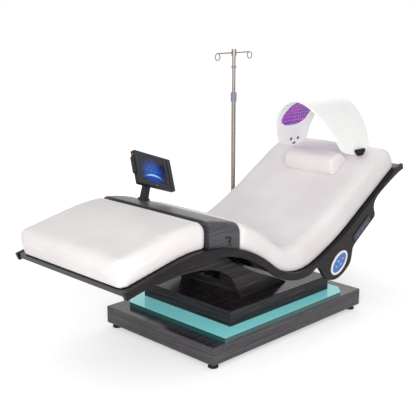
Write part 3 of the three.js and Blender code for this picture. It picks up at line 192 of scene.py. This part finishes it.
def makeLaminate(name):
    look = laminateSets[name]
    along, across = grainSet["along"], grainSet["across"]
    material, tree = newMaterial(name)
    place = addNode(tree, "ShaderNodeTexCoord").outputs["Object"]
    facing = addNode(tree, "ShaderNodeNewGeometry")
    parts = addNode(tree, "ShaderNodeSeparateXYZ", {"Vector": facing.outputs["Normal"]})
    lying = addMath(tree, "ABSOLUTE", parts.outputs["Z"])
    isTop = addMath(tree, "GREATER_THAN", lying, grainSet["topFrom"])
    layers = []
    for finer, detail in grainSet["layers"]:
        sideScale = [value * finer for value in (along, along, across)]
        topScale = [value * finer for value in (along, across, across)]
        side = addNode(tree, "ShaderNodeMapping", {"Vector": place, "Scale": sideScale})
        top = addNode(tree, "ShaderNodeMapping", {"Vector": place, "Scale": topScale})
        turned = addNode(
            tree, "ShaderNodeMix", {0: isTop, 4: side.outputs[0], 5: top.outputs[0]}, data_type="VECTOR",
        )
        layers.append(addNode(
            tree, "ShaderNodeTexNoise",
            {"Vector": turned.outputs[1], "Scale": 1.0, "Detail": detail, "Roughness": 0.55},
        ))
    both = addNode(
        tree, "ShaderNodeMix",
        {0: grainSet["fineShare"], 2: layers[0].outputs[0], 3: layers[1].outputs[0]},
        data_type="FLOAT",
    ).outputs[0]
    colours = [look["dark"], look["mid"], look["pale"]]
    colour = addNode(
        tree, "ShaderNodeValToRGB", {"Fac": both}, stops=list(zip(grainSet["stops"], colours)),
    )
    ends = (look["rough"] + grainSet["duller"], look["rough"] - grainSet["shinier"])
    shader = addNode(
        tree, "ShaderNodeBsdfPrincipled",
        {"Base Color": colour.outputs[0], "Roughness": addRange(tree, both, toEnds=ends), "IOR": 1.5,
         "Specular IOR Level": look["shine"]},
    )
    finishMaterial(tree, shader)
    return material


# Everything that is one colour with a fine surface of its own: two colours that it varies
# between, roughness, metallic, pattern size in metres, bump strength and, where given, how
# the pattern is drawn out, how strong its mirror is and how much painted glow it gives.
plainSets = {
    # polished black lacquer on the lounge board's edge
    "blackLacquer": {"a": "#0d0c0e", "b": "#171518", "rough": 0.12, "metal": 0.0, "size": 0.03, "bump": 0.0},
    # brushed stainless steel, drawn along the tube; real scratches are 0.1 mm, drawn at 4 mm
    "brushedSteel": {"a": "#857b75", "b": "#9d938c", "rough": 0.34, "metal": 1.0, "size": 0.004,
                     "bump": 0.0, "draw": (1, 1, 0.02)},
    # the ram's rod, hard chrome gone dark under its grease
    "darkChrome": {"a": "#2a2a2c", "b": "#38383b", "rough": 0.3, "metal": 1.0, "size": 0.01, "bump": 0.0},
    # powder-coated steel: fine orange peel, 1 mm across
    "powderCoat": {"a": "#0e0e10", "b": "#18181b", "rough": 0.42, "metal": 0.0, "size": 0.004, "bump": 0.04,
                   "shine": 0.25},
    # moulded ABS with a spark-eroded texture
    "charcoalAbs": {"a": "#1d1e22", "b": "#27282d", "rough": 0.36, "metal": 0.0, "size": 0.004, "bump": 0.02,
                    "shine": 0.28},
    "blackAbs": {"a": "#0a0a0b", "b": "#121213", "rough": 0.4, "metal": 0.0, "size": 0.004, "bump": 0.02,
                 "shine": 0.18},
    # the welt around the cushions' shoulders, in the same vinyl, a shade lighter: a painted highlight along
    # the shoulder
    "paintedHighlightWeltVinyl": {"a": "#e6e2e1", "b": "#edeae9", "rough": 0.5, "metal": 0.0, "size": 0.003, "bump": 0.02},
    # the arch: white ABS over a lit board, with a little painted light on both its faces that brightens them
    # in their shade
    "paintedGlowAbs": {"a": "#efefed", "b": "#f3f3f1", "rough": 0.36, "metal": 0.0, "size": 0.05, "bump": 0.0,
                "glow": 0.09},
    # white ABS, satin from the mould
    "whiteAbs": {"a": "#f0f0ee", "b": "#f4f4f2", "rough": 0.36, "metal": 0.0, "size": 0.05, "bump": 0.0},
    "greyNylon": {"a": "#86839a", "b": "#938fa8", "rough": 0.42, "metal": 0.0, "size": 0.001, "bump": 0.05},
    "blackRubber": {"a": "#121213", "b": "#1b1b1c", "rough": 0.7, "metal": 0.0, "size": 0.002, "bump": 0.1},
    "redAbs": {"a": "#b9231f", "b": "#d0302c", "rough": 0.35, "metal": 0.0, "size": 0.002, "bump": 0.02},
    "paleAbs": {"a": "#9db4ea", "b": "#b4c8f4", "rough": 0.35, "metal": 0.0, "size": 0.002, "bump": 0.02},
    "orangeAbs": {"a": "#f08a34", "b": "#fa9a44", "rough": 0.35, "metal": 0.0, "size": 0.002, "bump": 0.02},
    "greenAbs": {"a": "#8cc653", "b": "#9dd660", "rough": 0.35, "metal": 0.0, "size": 0.002, "bump": 0.02},
    "zincSteel": {"a": "#b3b3b0", "b": "#cfcfcc", "rough": 0.25, "metal": 1.0, "size": 0.002, "bump": 0.02},
}


def makePlain(name):
    look = plainSets[name]
    material, tree = newMaterial(name)
    place = addNode(tree, "ShaderNodeTexCoord").outputs["Object"]
    scale = [value / look["size"] for value in look.get("draw", (1, 1, 1))]
    drawn = addNode(tree, "ShaderNodeMapping", {"Vector": place, "Scale": scale})
    fine = addNode(
        tree, "ShaderNodeTexNoise", {"Vector": drawn.outputs[0], "Scale": 1.0, "Detail": 3.0},
    ).outputs[0]
    colour = addNode(
        tree, "ShaderNodeValToRGB", {"Fac": fine}, stops=[(0.35, look["a"]), (0.65, look["b"])],
    )
    rough = addRange(tree, fine, toEnds=(look["rough"] - 0.04, look["rough"] + 0.05))
    inputs = {"Base Color": colour.outputs[0], "Roughness": rough, "Metallic": look["metal"]}
    # a glow here is painted light: emission on a part that is no lamp
    if "glow" in look:
        inputs["Emission Color"] = (1, 1, 1, 1)
        inputs["Emission Strength"] = look["glow"]
    if "shine" in look:
        inputs["Specular IOR Level"] = look["shine"]
    if look["bump"]:
        bump = addNode(
            tree, "ShaderNodeBump", {"Height": fine, "Strength": look["bump"], "Distance": 0.0005},
        )
        inputs["Normal"] = bump.outputs[0]
    finishMaterial(tree, addNode(tree, "ShaderNodeBsdfPrincipled", inputs))
    return material


# Back-painted float glass: teal lacquer under a hard clear face, with the dark green of
# the glass itself at its cut edge. Its glow is painted light, which keeps the lacquer
# bright in the lounge's shadow.
glassSet = {"face": "#86dbdd", "edge": "#1c4748", "rough": 0.05, "glow": 0.3}


def makeTealGlass():
    material, tree = newMaterial("backPaintedGlass")
    facing = addNode(tree, "ShaderNodeNewGeometry")
    parts = addNode(tree, "ShaderNodeSeparateXYZ", {"Vector": facing.outputs["Normal"]})
    colour = addNode(
        tree, "ShaderNodeValToRGB", {"Fac": parts.outputs["Z"]},
        stops=[(0.3, glassSet["edge"]), (0.8, glassSet["face"])],
    )
    # the emission is painted light against the lounge's shadow
    shader = addNode(
        tree, "ShaderNodeBsdfPrincipled",
        {"Base Color": colour.outputs[0], "Roughness": glassSet["rough"], "IOR": 1.52,
         "Emission Color": colour.outputs[0], "Emission Strength": glassSet["glow"]},
    )
    finishMaterial(tree, shader)
    return material


# Plastics with light behind them: name, colour of the light, its strength, colour of the
# plastic and roughness
glowSets = {
    "lampBoard": ("#5a1cae", 0.05, "#5c22b4", 0.4),
    "redLamp": ("#f0306e", 0.1, "#f03474", 0.25),
    "violetLamp": ("#9a88ff", 0.08, "#a89cf6", 0.25),
    "blueMembrane": ("#2f5fc0", 0.1, "#3d68b8", 0.35),
    "blueMark": ("#35509a", 0.45, "#141c34", 0.35),
}


def makeGlow(name):
    light, strength, plastic, rough = glowSets[name]
    material, tree = newMaterial(name)
    shader = addNode(
        tree, "ShaderNodeBsdfPrincipled",
        {"Base Color": linear(plastic), "Roughness": rough,
         "Emission Color": linear(light), "Emission Strength": strength},
    )
    finishMaterial(tree, shader)
    return material


# The tablet's lit picture: night blue with a paler haze, a bright arc near its foot and faint
# rows of dashes. Measured in the tablet's own directions; heights and widths are shares.
screenSet = {
    "middle": (-0.3192, 0.1668, 0.8360),
    "along": (0.9398, 0.1130, -0.3226),
    "up": (0.2282, 0.4954, 0.8381),
    "half": (0.102, 0.069),
    "shift": (-0.020, 0.005),
    "glass": "#050608",
    "colours": [
        (0.0, "#02040c"), (0.3, "#0a2152"), (0.62, "#1458c4"), (0.85, "#3f97f0"), (1.0, "#bfe4ff"),
    ],
    "glow": 0.8,
    "arc": {"bend": 0.9, "height": 0.26, "thick": 0.06, "fadeBy": 0.2, "bright": (0.6, 0.1)},
    "haze": {"height": 0.3, "narrow": 1.6, "reach": 0.42, "bright": 0.62},
    "dashes": {"from": (0.36, 0.42), "bright": 0.2, "gap": 0.028, "long": 0.17, "row": 0.12},
}


def makeScreen():
    look = screenSet
    bow, cloud, dash = look["arc"], look["haze"], look["dashes"]
    material, tree = newMaterial("screenGlow")
    place = addNode(tree, "ShaderNodeTexCoord").outputs["Object"]
    off = addNode(tree, "ShaderNodeVectorMath", {0: place, 1: look["middle"]}, operation="SUBTRACT")
    ways = []
    for axis, half, shift in zip(("along", "up"), look["half"], look["shift"]):
        reach = addNode(
            tree, "ShaderNodeVectorMath", {0: off.outputs[0], 1: look[axis]}, operation="DOT_PRODUCT",
        )
        ways.append(addRange(tree, reach.outputs["Value"], (shift - half, shift + half)))
    across, up = ways
    # the arc: how near the height is to a shallow bow, fading to both sides
    middle = addMath(tree, "SUBTRACT", across, 0.5)
    square = addMath(tree, "MULTIPLY", middle, middle)
    height = addMath(tree, "MULTIPLY_ADD", square, bow["bend"], up)
    away = addMath(tree, "ABSOLUTE", addMath(tree, "SUBTRACT", height, bow["height"]))
    bright = addRange(tree, square, (0, bow["fadeBy"]), bow["bright"])
    arc = addRange(tree, away, (0, bow["thick"]), (bright, 0), "SMOOTHSTEP")
    # the haze over it, round its crown
    over = addMath(tree, "SUBTRACT", up, cloud["height"])
    wide = addMath(tree, "MULTIPLY_ADD", square, cloud["narrow"], addMath(tree, "MULTIPLY", over, over))
    haze = addRange(tree, wide, (0, cloud["reach"]), (cloud["bright"], 0))
    # short dashes in rows, only above the arc
    board = addNode(tree, "ShaderNodeCombineXYZ", {"X": across, "Y": up})
    bricks = addNode(
        tree, "ShaderNodeTexBrick",
        {"Vector": board.outputs[0], "Scale": 1.0, "Color1": (1, 1, 1, 1), "Color2": (0.3, 0.3, 0.3, 1),
         "Mortar": (0, 0, 0, 1), "Mortar Size": dash["gap"], "Brick Width": dash["long"],
         "Row Height": dash["row"], "Bias": -0.2},
    )
    above = addRange(tree, up, dash["from"], (0, dash["bright"]))
    marks = addMath(tree, "MULTIPLY", bricks.outputs["Color"], above)
    total = addMath(tree, "ADD", addMath(tree, "ADD", haze, arc), marks)
    colour = addNode(tree, "ShaderNodeValToRGB", {"Fac": total}, stops=look["colours"])
    shader = addNode(
        tree, "ShaderNodeBsdfPrincipled",
        {"Base Color": linear(look["glass"]), "Roughness": 0.12, "Specular IOR Level": 0.3,
         "Emission Color": colour.outputs[0], "Emission Strength": look["glow"]},
    )
    finishMaterial(tree, shader)
    return material


materials = {name: makePlain(name) for name in plainSets}
materials.update({name: makeLaminate(name) for name in laminateSets})
materials["satinVinyl"] = makeVinyl()
materials["backPaintedGlass"] = makeTealGlass()
materials["screenGlow"] = makeScreen()
materials.update({name: makeGlow(name) for name in glowSets})

finishes = {
    "smokedLaminate": "lower_plinth",
    "paintedShadeLaminate": "upper_plinth swoosh_bracket_near swoosh_bracket_far bracket_web",
    "paintedShadePlateLaminate": "side_plate_near side_plate_far batten_foot batten_head",
    "consoleLaminate": "console",
    "blackLacquer": "platform strip_panel",
    "backPaintedGlass": "glass_slab",
    "brushedSteel": "pole_lower pole_upper hook_bar",
    "zincSteel": "home_button",
    "darkChrome": "ram_rod tilt_shaft pivot_bush_near pivot_bush_far",
    "powderCoat": "ram_tube pivot_hanger_near pivot_hanger_far tilt_crank ram_clevis pole_socket "
                  "headset_hook tablet_head",
    "charcoalAbs": "tablet_body tablet_post tablet_foot control_box",
    "blackAbs": "ram_motor mains_inlet light_plug press_stud_1 press_stud_2",
    "blackRubber": "levelling_foot_1 levelling_foot_2 levelling_foot_3 levelling_foot_4",
    "whiteAbs": "keypad_ring",
    "paintedGlowAbs": "light_shell",
    "paleAbs": "keypad_key_2 keypad_key_3",
    "orangeAbs": "keypad_key_4",
    "greenAbs": "keypad_key_1",
    "greyNylon": "pole_collar pole_ring",
    "redAbs": "side_button",
    "satinVinyl": "leg_cushion back_cushion pillow",
    "screenGlow": "tablet_screen",
    "lampBoard": "light_panel",
    "blueMembrane": "keypad_face",
    "blueMark": "strip_key_1 strip_key_2 strip_key_3",
}
for finish, names in finishes.items():
    for name in names.split():
        for part in nodes[name].material_slots:
            part.material = materials[finish]
print("materials made:", len(materials))


# Edges: every node is shaded smooth across its shallow facets, and the boards get the
# 1 mm rounded edge that a router leaves. Both are modifiers; the nodes' own meshes stay.
sharpSet = {"weld": 0.00001, "smoothUpTo": 32, "bevelFrom": 35}  # metres, degrees, degrees


def makeSmoother():
    tree = bpy.data.node_groups.new("smoothFacets", "GeometryNodeTree")
    for way in ("INPUT", "OUTPUT"):
        tree.interface.new_socket("Geometry", in_out=way, socket_type="NodeSocketGeometry")
    start = addNode(tree, "NodeGroupInput")
    merged = addNode(
        tree, "GeometryNodeMergeByDistance",
        {"Geometry": start.outputs[0], "Distance": sharpSet["weld"]},
    )
    bare = addNode(
        tree, "GeometryNodeRemoveAttribute", {"Geometry": merged.outputs[0], "Name": "custom_normal"},
    )
    angle = addNode(tree, "GeometryNodeInputMeshEdgeAngle")
    soft = addMath(tree, "LESS_THAN", angle.outputs[0], math.radians(sharpSet["smoothUpTo"]))
    faces = addNode(
        tree, "GeometryNodeSetShadeSmooth", {"Geometry": bare.outputs[0], "Shade Smooth": True},
    )
    edges = addNode(
        tree, "GeometryNodeSetShadeSmooth", {"Geometry": faces.outputs[0], "Shade Smooth": soft},
        domain="EDGE",
    )
    addNode(tree, "NodeGroupOutput", {"Geometry": edges.outputs[0]})
    return tree


smoother = makeSmoother()
routed = {
    0.0008: "lower_plinth upper_plinth tablet_post tablet_foot",
    0.001: "swoosh_bracket_near swoosh_bracket_far side_plate_near side_plate_far pole_socket light_plug",
    0.0012: "platform console",
}
edgeWidths = {name: width for width, names in routed.items() for name in names.split()}
for name, node in nodes.items():
    shade = node.modifiers.new("smoothFacets", "NODES")
    shade.node_group = smoother
    if name in edgeWidths:
        bevel = node.modifiers.new("routedEdge", "BEVEL")
        bevel.width = edgeWidths[name]
        bevel.segments = 2
        bevel.limit_method = "ANGLE"
        bevel.angle_limit = math.radians(sharpSet["bevelFrom"])
        bevel.harden_normals = True
print("edges eased")


# Studio: a white floor that runs out of sight, one large soft lamp at the camera's side,
# weak ones overhead and behind, and a pale world. Floor and world are white where they
# are seen, in mirrors and through glass too, and give a plainer light.

studioSet = {
    "floor": "#f7f6f5",
    "floorHalf": 30,
    # how much the floor is lifted to white: by the object, and from fadeTo metres away
    "floorLift": (0.4, 0.62),
    "fadeFrom": 0.9,
    "fadeTo": 2.6,
    "world": 0.5,
    "lamps": [
        {"name": "sideLamp", "at": (-3.6, -3.4, 1.9), "to": (0, 0, 0.4), "size": (2.6, 2.2), "watts": 165},
        {"name": "topLamp", "at": (-0.3, 0.4, 3.4), "to": (0, 0, 0.3), "size": (3.2, 2.4), "watts": 8},
        {"name": "backLamp", "at": (3.0, 1.5, 2.2), "to": (0.4, 0, 0.5), "size": (2.0, 1.6), "watts": 14},
    ],
}


def whereSeen(tree):
    path = addNode(tree, "ShaderNodeLightPath").outputs
    seen = addMath(tree, "MAXIMUM", path["Is Camera Ray"], path["Is Glossy Ray"])
    return addMath(tree, "MAXIMUM", seen, path["Is Transmission Ray"])


def makeFloor():
    material, tree = newMaterial("paperFloor")
    place = addNode(tree, "ShaderNodeTexCoord").outputs["Object"]
    away = addNode(tree, "ShaderNodeVectorMath", {0: place}, operation="LENGTH")
    reach = (studioSet["fadeFrom"], studioSet["fadeTo"])
    fade = addRange(tree, away.outputs["Value"], reach, studioSet["floorLift"], "SMOOTHSTEP")
    lift = addMath(tree, "MULTIPLY", whereSeen(tree), fade)
    paper = addNode(tree, "ShaderNodeBsdfDiffuse", {"Color": linear(studioSet["floor"])})
    glow = addNode(tree, "ShaderNodeEmission", {"Color": (1, 1, 1, 1), "Strength": lift})
    both = addNode(tree, "ShaderNodeAddShader", {0: paper.outputs[0], 1: glow.outputs[0]})
    finishMaterial(tree, both)
    mesh = bpy.data.meshes.new("paperFloor")
    half = studioSet["floorHalf"]
    corners = [(-half, -half, 0), (half, -half, 0), (half, half, 0), (-half, half, 0)]
    mesh.from_pydata(corners, [], [(0, 1, 2, 3)])
    mesh.materials.append(material)
    floor = bpy.data.objects.new("paperFloor", mesh)
    scene.collection.objects.link(floor)


def makeWorld():
    world = bpy.data.worlds.new("studioWorld")
    world.use_nodes = True
    tree = world.node_tree
    tree.nodes.clear()
    strength = addRange(tree, whereSeen(tree), toEnds=(studioSet["world"], 1.0))
    sky = addNode(tree, "ShaderNodeBackground", {"Color": (1, 1, 1, 1), "Strength": strength})
    addNode(tree, "ShaderNodeOutputWorld", {"Surface": sky.outputs[0]})
    scene.world = world


def makeLamp(look):
    light = bpy.data.lights.new(look["name"], "AREA")
    light.shape = "RECTANGLE"
    light.size, light.size_y = look["size"]
    light.energy = look["watts"]
    holder = bpy.data.objects.new(look["name"], light)
    holder.location = look["at"]
    aim = Vector(look["to"]) - Vector(look["at"])
    holder.rotation_euler = aim.to_track_quat("-Z", "Y").to_euler()
    scene.collection.objects.link(holder)


makeFloor()
makeWorld()
for lamp in studioSet["lamps"]:
    makeLamp(lamp)
print("studio lit")


# Helpers for the pieces that this script adds

def weldedCopy(nodeName, pieceName):
    work = bmesh.new()
    work.from_mesh(nodes[nodeName].data)
    bmesh.ops.remove_doubles(work, verts=work.verts, dist=sharpSet["weld"])
    piece = bpy.data.objects.new(pieceName, meshOf(pieceName, work))
    scene.collection.objects.link(piece)
    return piece


def makePiece(name, mesh, finish, body, smooth=False):
    for polygon in mesh.polygons:
        polygon.use_smooth = smooth
    mesh.materials.clear()
    mesh.materials.append(materials[finish])
    piece = bpy.data.objects.new(name, mesh)
    scene.collection.objects.link(piece)
    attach(piece, body)


def meshOf(name, work):
    mesh = bpy.data.meshes.new(name)
    work.to_mesh(mesh)
    work.free()
    return mesh


def applyAll(piece):
    graph = bpy.context.evaluated_depsgraph_get()
    mesh = bpy.data.meshes.new_from_object(piece.evaluated_get(graph))
    piece.modifiers.clear()
    piece.data = mesh


# Lengths in metres. The cap is how far a face may swell, and tight is how far an edge or a
# corner may sink; seam is where the welt's rectangle begins and ends along X.
cushions = {
    "leg_cushion": {
        "piece": "legCushion", "body": "lounge", "voxel": 0.007, "inset": 0.0015,
        "cap": 0.0035, "tight": 0.001, "fill": 0.9, "seam": (-0.999, -0.536), "seamHalf": 0.352,
    },
    "back_cushion": {
        "piece": "backCushion", "body": "lounge", "voxel": 0.009, "inset": 0.0015,
        "cap": 0.005, "tight": 0.001, "fill": 0.9, "seam": (-0.290, 0.905), "seamHalf": 0.356,
    },
    "pillow": {
        "piece": "headPillow", "body": "head_pillow", "voxel": 0.005, "inset": 0.001,
        "cap": 0.003, "tight": 0.0005, "fill": 0.8,
    },
}
clothSet = {
    "quality": 3, "mass": 0.4, "tension": 25, "compression": 25, "shear": 12, "bending": 3,
    "pressure": 4.0, "lastFrame": 20,
}


# The cover is blown up over its foam: a shrunken copy of the node's form as cloth under
# pressure, with how far a point may move held to a cap.

def makeCushion(nodeName):
    look = cushions[nodeName]
    piece = weldedCopy(nodeName, look["piece"])
    remesh = piece.modifiers.new("remesh", "REMESH")
    remesh.mode = "VOXEL"
    remesh.voxel_size = look["voxel"]
    applyAll(piece)
    smooth = piece.modifiers.new("smooth", "SMOOTH")
    smooth.iterations = 1
    shrink = piece.modifiers.new("shrink", "DISPLACE")
    shrink.strength = -look["inset"]
    shrink.mid_level = 0
    applyAll(piece)
    swell(piece, look)
    finer = piece.modifiers.new("finer", "SUBSURF")
    finer.levels = 1
    finer.render_levels = 1
    applyAll(piece)
    for polygon in piece.data.polygons:
        polygon.use_smooth = True
    piece.data.materials.clear()
    piece.data.materials.append(materials["satinVinyl"])
    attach(piece, look["body"])
    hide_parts(nodeName)
    if "seam" in look:
        makeSeam(piece, look)


def swell(piece, look):
    start = [(vertex.co.copy(), vertex.normal.copy()) for vertex in piece.data.vertices]
    cloth = piece.modifiers.new("cloth", "CLOTH")
    settings = cloth.settings
    settings.quality = clothSet["quality"]
    settings.mass = clothSet["mass"]
    settings.tension_stiffness = clothSet["tension"]
    settings.compression_stiffness = clothSet["compression"]
    settings.shear_stiffness = clothSet["shear"]
    settings.bending_stiffness = clothSet["bending"]
    settings.use_pressure = True
    settings.uniform_pressure_force = clothSet["pressure"]
    settings.effector_weights.gravity = 0
    cloth.collision_settings.use_collision = False
    cloth.point_cache.frame_start = 1
    cloth.point_cache.frame_end = clothSet["lastFrame"]
    for moment in range(1, clothSet["lastFrame"] + 1):
        scene.frame_set(moment)
    applyAll(piece)
    scene.frame_set(1)
    # faces may swell; edges and corners, which the foam holds out, hardly sink
    for vertex, (place, normal) in zip(piece.data.vertices, start):
        move = vertex.co - place
        cap = look["cap"] if move.dot(normal) > 0 else look["tight"]
        if move.length > cap:
            vertex.co = place + move.normalized() * cap
    settle = piece.modifiers.new("settle", "SMOOTH")
    settle.iterations = 1
    applyAll(piece)


# The sewn joint of top panel and side panel: a fine welt around the shoulder, half sunk
# in the cover. Thread is 0.4 mm and the welt 2.2 mm thick. Its line is a rectangle with
# rounded corners, let down onto the cushion from above.
seamSet = {
    "radius": 0.0011, "rise": 0.0003, "corner": 0.03, "cornerSteps": 6, "step": 0.008,
    "middleY": -0.02685, "from": 1.3,
}


def seamPlan(look):
    fromX, toX = look["seam"]
    half = look["seamHalf"]
    corner = seamSet["corner"]
    steps = seamSet["cornerSteps"]
    centres = [
        (toX - corner, half - corner), (fromX + corner, half - corner),
        (fromX + corner, corner - half), (toX - corner, corner - half),
    ]
    plan = []
    for quarter, (x, y) in enumerate(centres):
        for step in range(steps + 1):
            angle = math.radians(90 * (quarter + step / steps))
            plan.append((
                x + corner * math.cos(angle),
                seamSet["middleY"] + y + corner * math.sin(angle),
            ))
    return plan + plan[:1]


def makeSeam(piece, look):
    tree = BVHTree.FromObject(piece, bpy.context.evaluated_depsgraph_get())
    plan = seamPlan(look)
    places = []
    for (fromX, fromY), (toX, toY) in zip(plan, plan[1:]):
        count = max(1, int(math.hypot(toX - fromX, toY - fromY) / seamSet["step"]))
        for step in range(count):
            share = step / count
            above = Vector((fromX + (toX - fromX) * share, fromY + (toY - fromY) * share, seamSet["from"]))
            hit, normal, _, _ = tree.ray_cast(above, Vector((0, 0, -1)))
            if hit:
                places.append(hit + normal * seamSet["rise"])
    name = look["piece"] + "Welt"
    curve = bpy.data.curves.new(name, "CURVE")
    curve.dimensions = "3D"
    curve.bevel_depth = seamSet["radius"]
    curve.bevel_resolution = 2
    line = curve.splines.new("POLY")
    line.points.add(len(places) - 1)
    for point, place in zip(line.points, places):
        point.co = (*place, 1)
    line.use_cyclic_u = True
    drawn = bpy.data.objects.new(name, curve)
    scene.collection.objects.link(drawn)
    graph = bpy.context.evaluated_depsgraph_get()
    mesh = bpy.data.meshes.new_from_object(drawn.evaluated_get(graph))
    bpy.data.objects.remove(drawn)
    # the welt's lighter vinyl is a painted highlight
    makePiece(name, mesh, "paintedHighlightWeltVinyl", look["body"], smooth=True)


for name in cushions:
    makeCushion(name)
    print("cushion made:", name)


# The light board's lamps: small clear domes in rows along the lounge, a red row and a
# violet row by turns, 13.5 mm apart around the arch's inner face
lampSet = {
    "middle": (-0.053, 0.905),  # of the arch, Y and Z
    "fromX": 0.599, "toX": 0.805, "count": 11,
    "fromAngle": 8, "toAngle": 172, "stepsPerDegree": 4,
    "pitch": 0.0135, "radius": 0.0062, "share": 0.82, "tall": 0.003,
}


# Walks around the board and gives one direction per pitch, seen from the arch's middle.
def lampWays(tree):
    look = lampSet
    start = Vector(((look["fromX"] + look["toX"]) / 2, *look["middle"]))
    ways = []
    gone = look["pitch"] / 2
    last = None
    for step in range(look["fromAngle"] * look["stepsPerDegree"], look["toAngle"] * look["stepsPerDegree"]):
        angle = math.radians(step / look["stepsPerDegree"])
        way = Vector((0, math.cos(angle), math.sin(angle)))
        hit = tree.ray_cast(start, way)[0]
        if not hit:
            continue
        gone += (hit - last).length if last else 0
        last = hit
        if gone >= look["pitch"]:
            gone -= look["pitch"]
            ways.append(way)
    return ways


def makeLamps():
    look = lampSet
    tree = BVHTree.FromObject(nodes["light_panel"], bpy.context.evaluated_depsgraph_get())
    along = Vector((1, 0, 0))
    form = Matrix.Diagonal((look["radius"] * look["share"], look["radius"], look["tall"], 1))
    works = {"redLamp": bmesh.new(), "violetLamp": bmesh.new()}
    ways = lampWays(tree)
    for row, way in enumerate(ways):
        kind = "redLamp" if row % 2 else "violetLamp"
        for step in range(look["count"]):
            x = look["fromX"] + (look["toX"] - look["fromX"]) * step / (look["count"] - 1)
            hit, normal, _, _ = tree.ray_cast(Vector((x, *look["middle"])), way)
            if not hit:
                continue
            out = -normal if normal.dot(way) > 0 else normal
            turn = Matrix((along, out.cross(along), out)).transposed().to_4x4()
            bmesh.ops.create_uvsphere(
                works[kind], u_segments=10, v_segments=6, radius=1,
                matrix=Matrix.Translation(hit) @ turn @ form,
            )
    for kind, work in works.items():
        makePiece(kind + "s", meshOf(kind + "s", work), kind, "light_dome", smooth=True)
    print("lamp rows:", len(ways))


makeLamps()
print("lamps set")


# Small pieces that the solids leave out, on the arch's far leg: the black bezels around
# its two press studs and the slot under them, found by looking along Y from inside
bezelSet = {"studs": ("press_stud_1", "press_stud_2"), "outer": 0.009, "taper": 0.9, "tall": 0.0012}
slotSet = {"at": (0.7715, 0.850), "size": (0.024, 0.0095, 0.0016), "lean": -72}


def makeBezels():
    tree = BVHTree.FromObject(nodes["light_shell"], bpy.context.evaluated_depsgraph_get())
    work = bmesh.new()

    def seatAt(x, z, upright):
        hit, normal, _, _ = tree.ray_cast(Vector((x, 0, z)), Vector((0, 1, 0)))
        return Matrix.Translation(hit) @ normal.to_track_quat("Z", upright).to_matrix().to_4x4()

    for name in bezelSet["studs"]:
        corners = [nodes[name].matrix_world @ Vector(corner) for corner in nodes[name].bound_box]
        middle = sum(corners, Vector()) / len(corners)
        bmesh.ops.create_cone(
            work, cap_ends=True, segments=32, radius1=bezelSet["outer"],
            radius2=bezelSet["outer"] * bezelSet["taper"], depth=bezelSet["tall"],
            matrix=seatAt(middle.x, middle.z, "Y"),
        )
    lean = Matrix.Rotation(math.radians(slotSet["lean"]), 4, "Z")
    form = Matrix.Diagonal((*slotSet["size"], 1))
    bmesh.ops.create_cube(work, size=1, matrix=seatAt(*slotSet["at"], "X") @ lean @ form)
    makePiece("domeBezels", meshOf("domeBezels", work), "blackAbs", "light_dome")


makeBezels()
print("small pieces made")
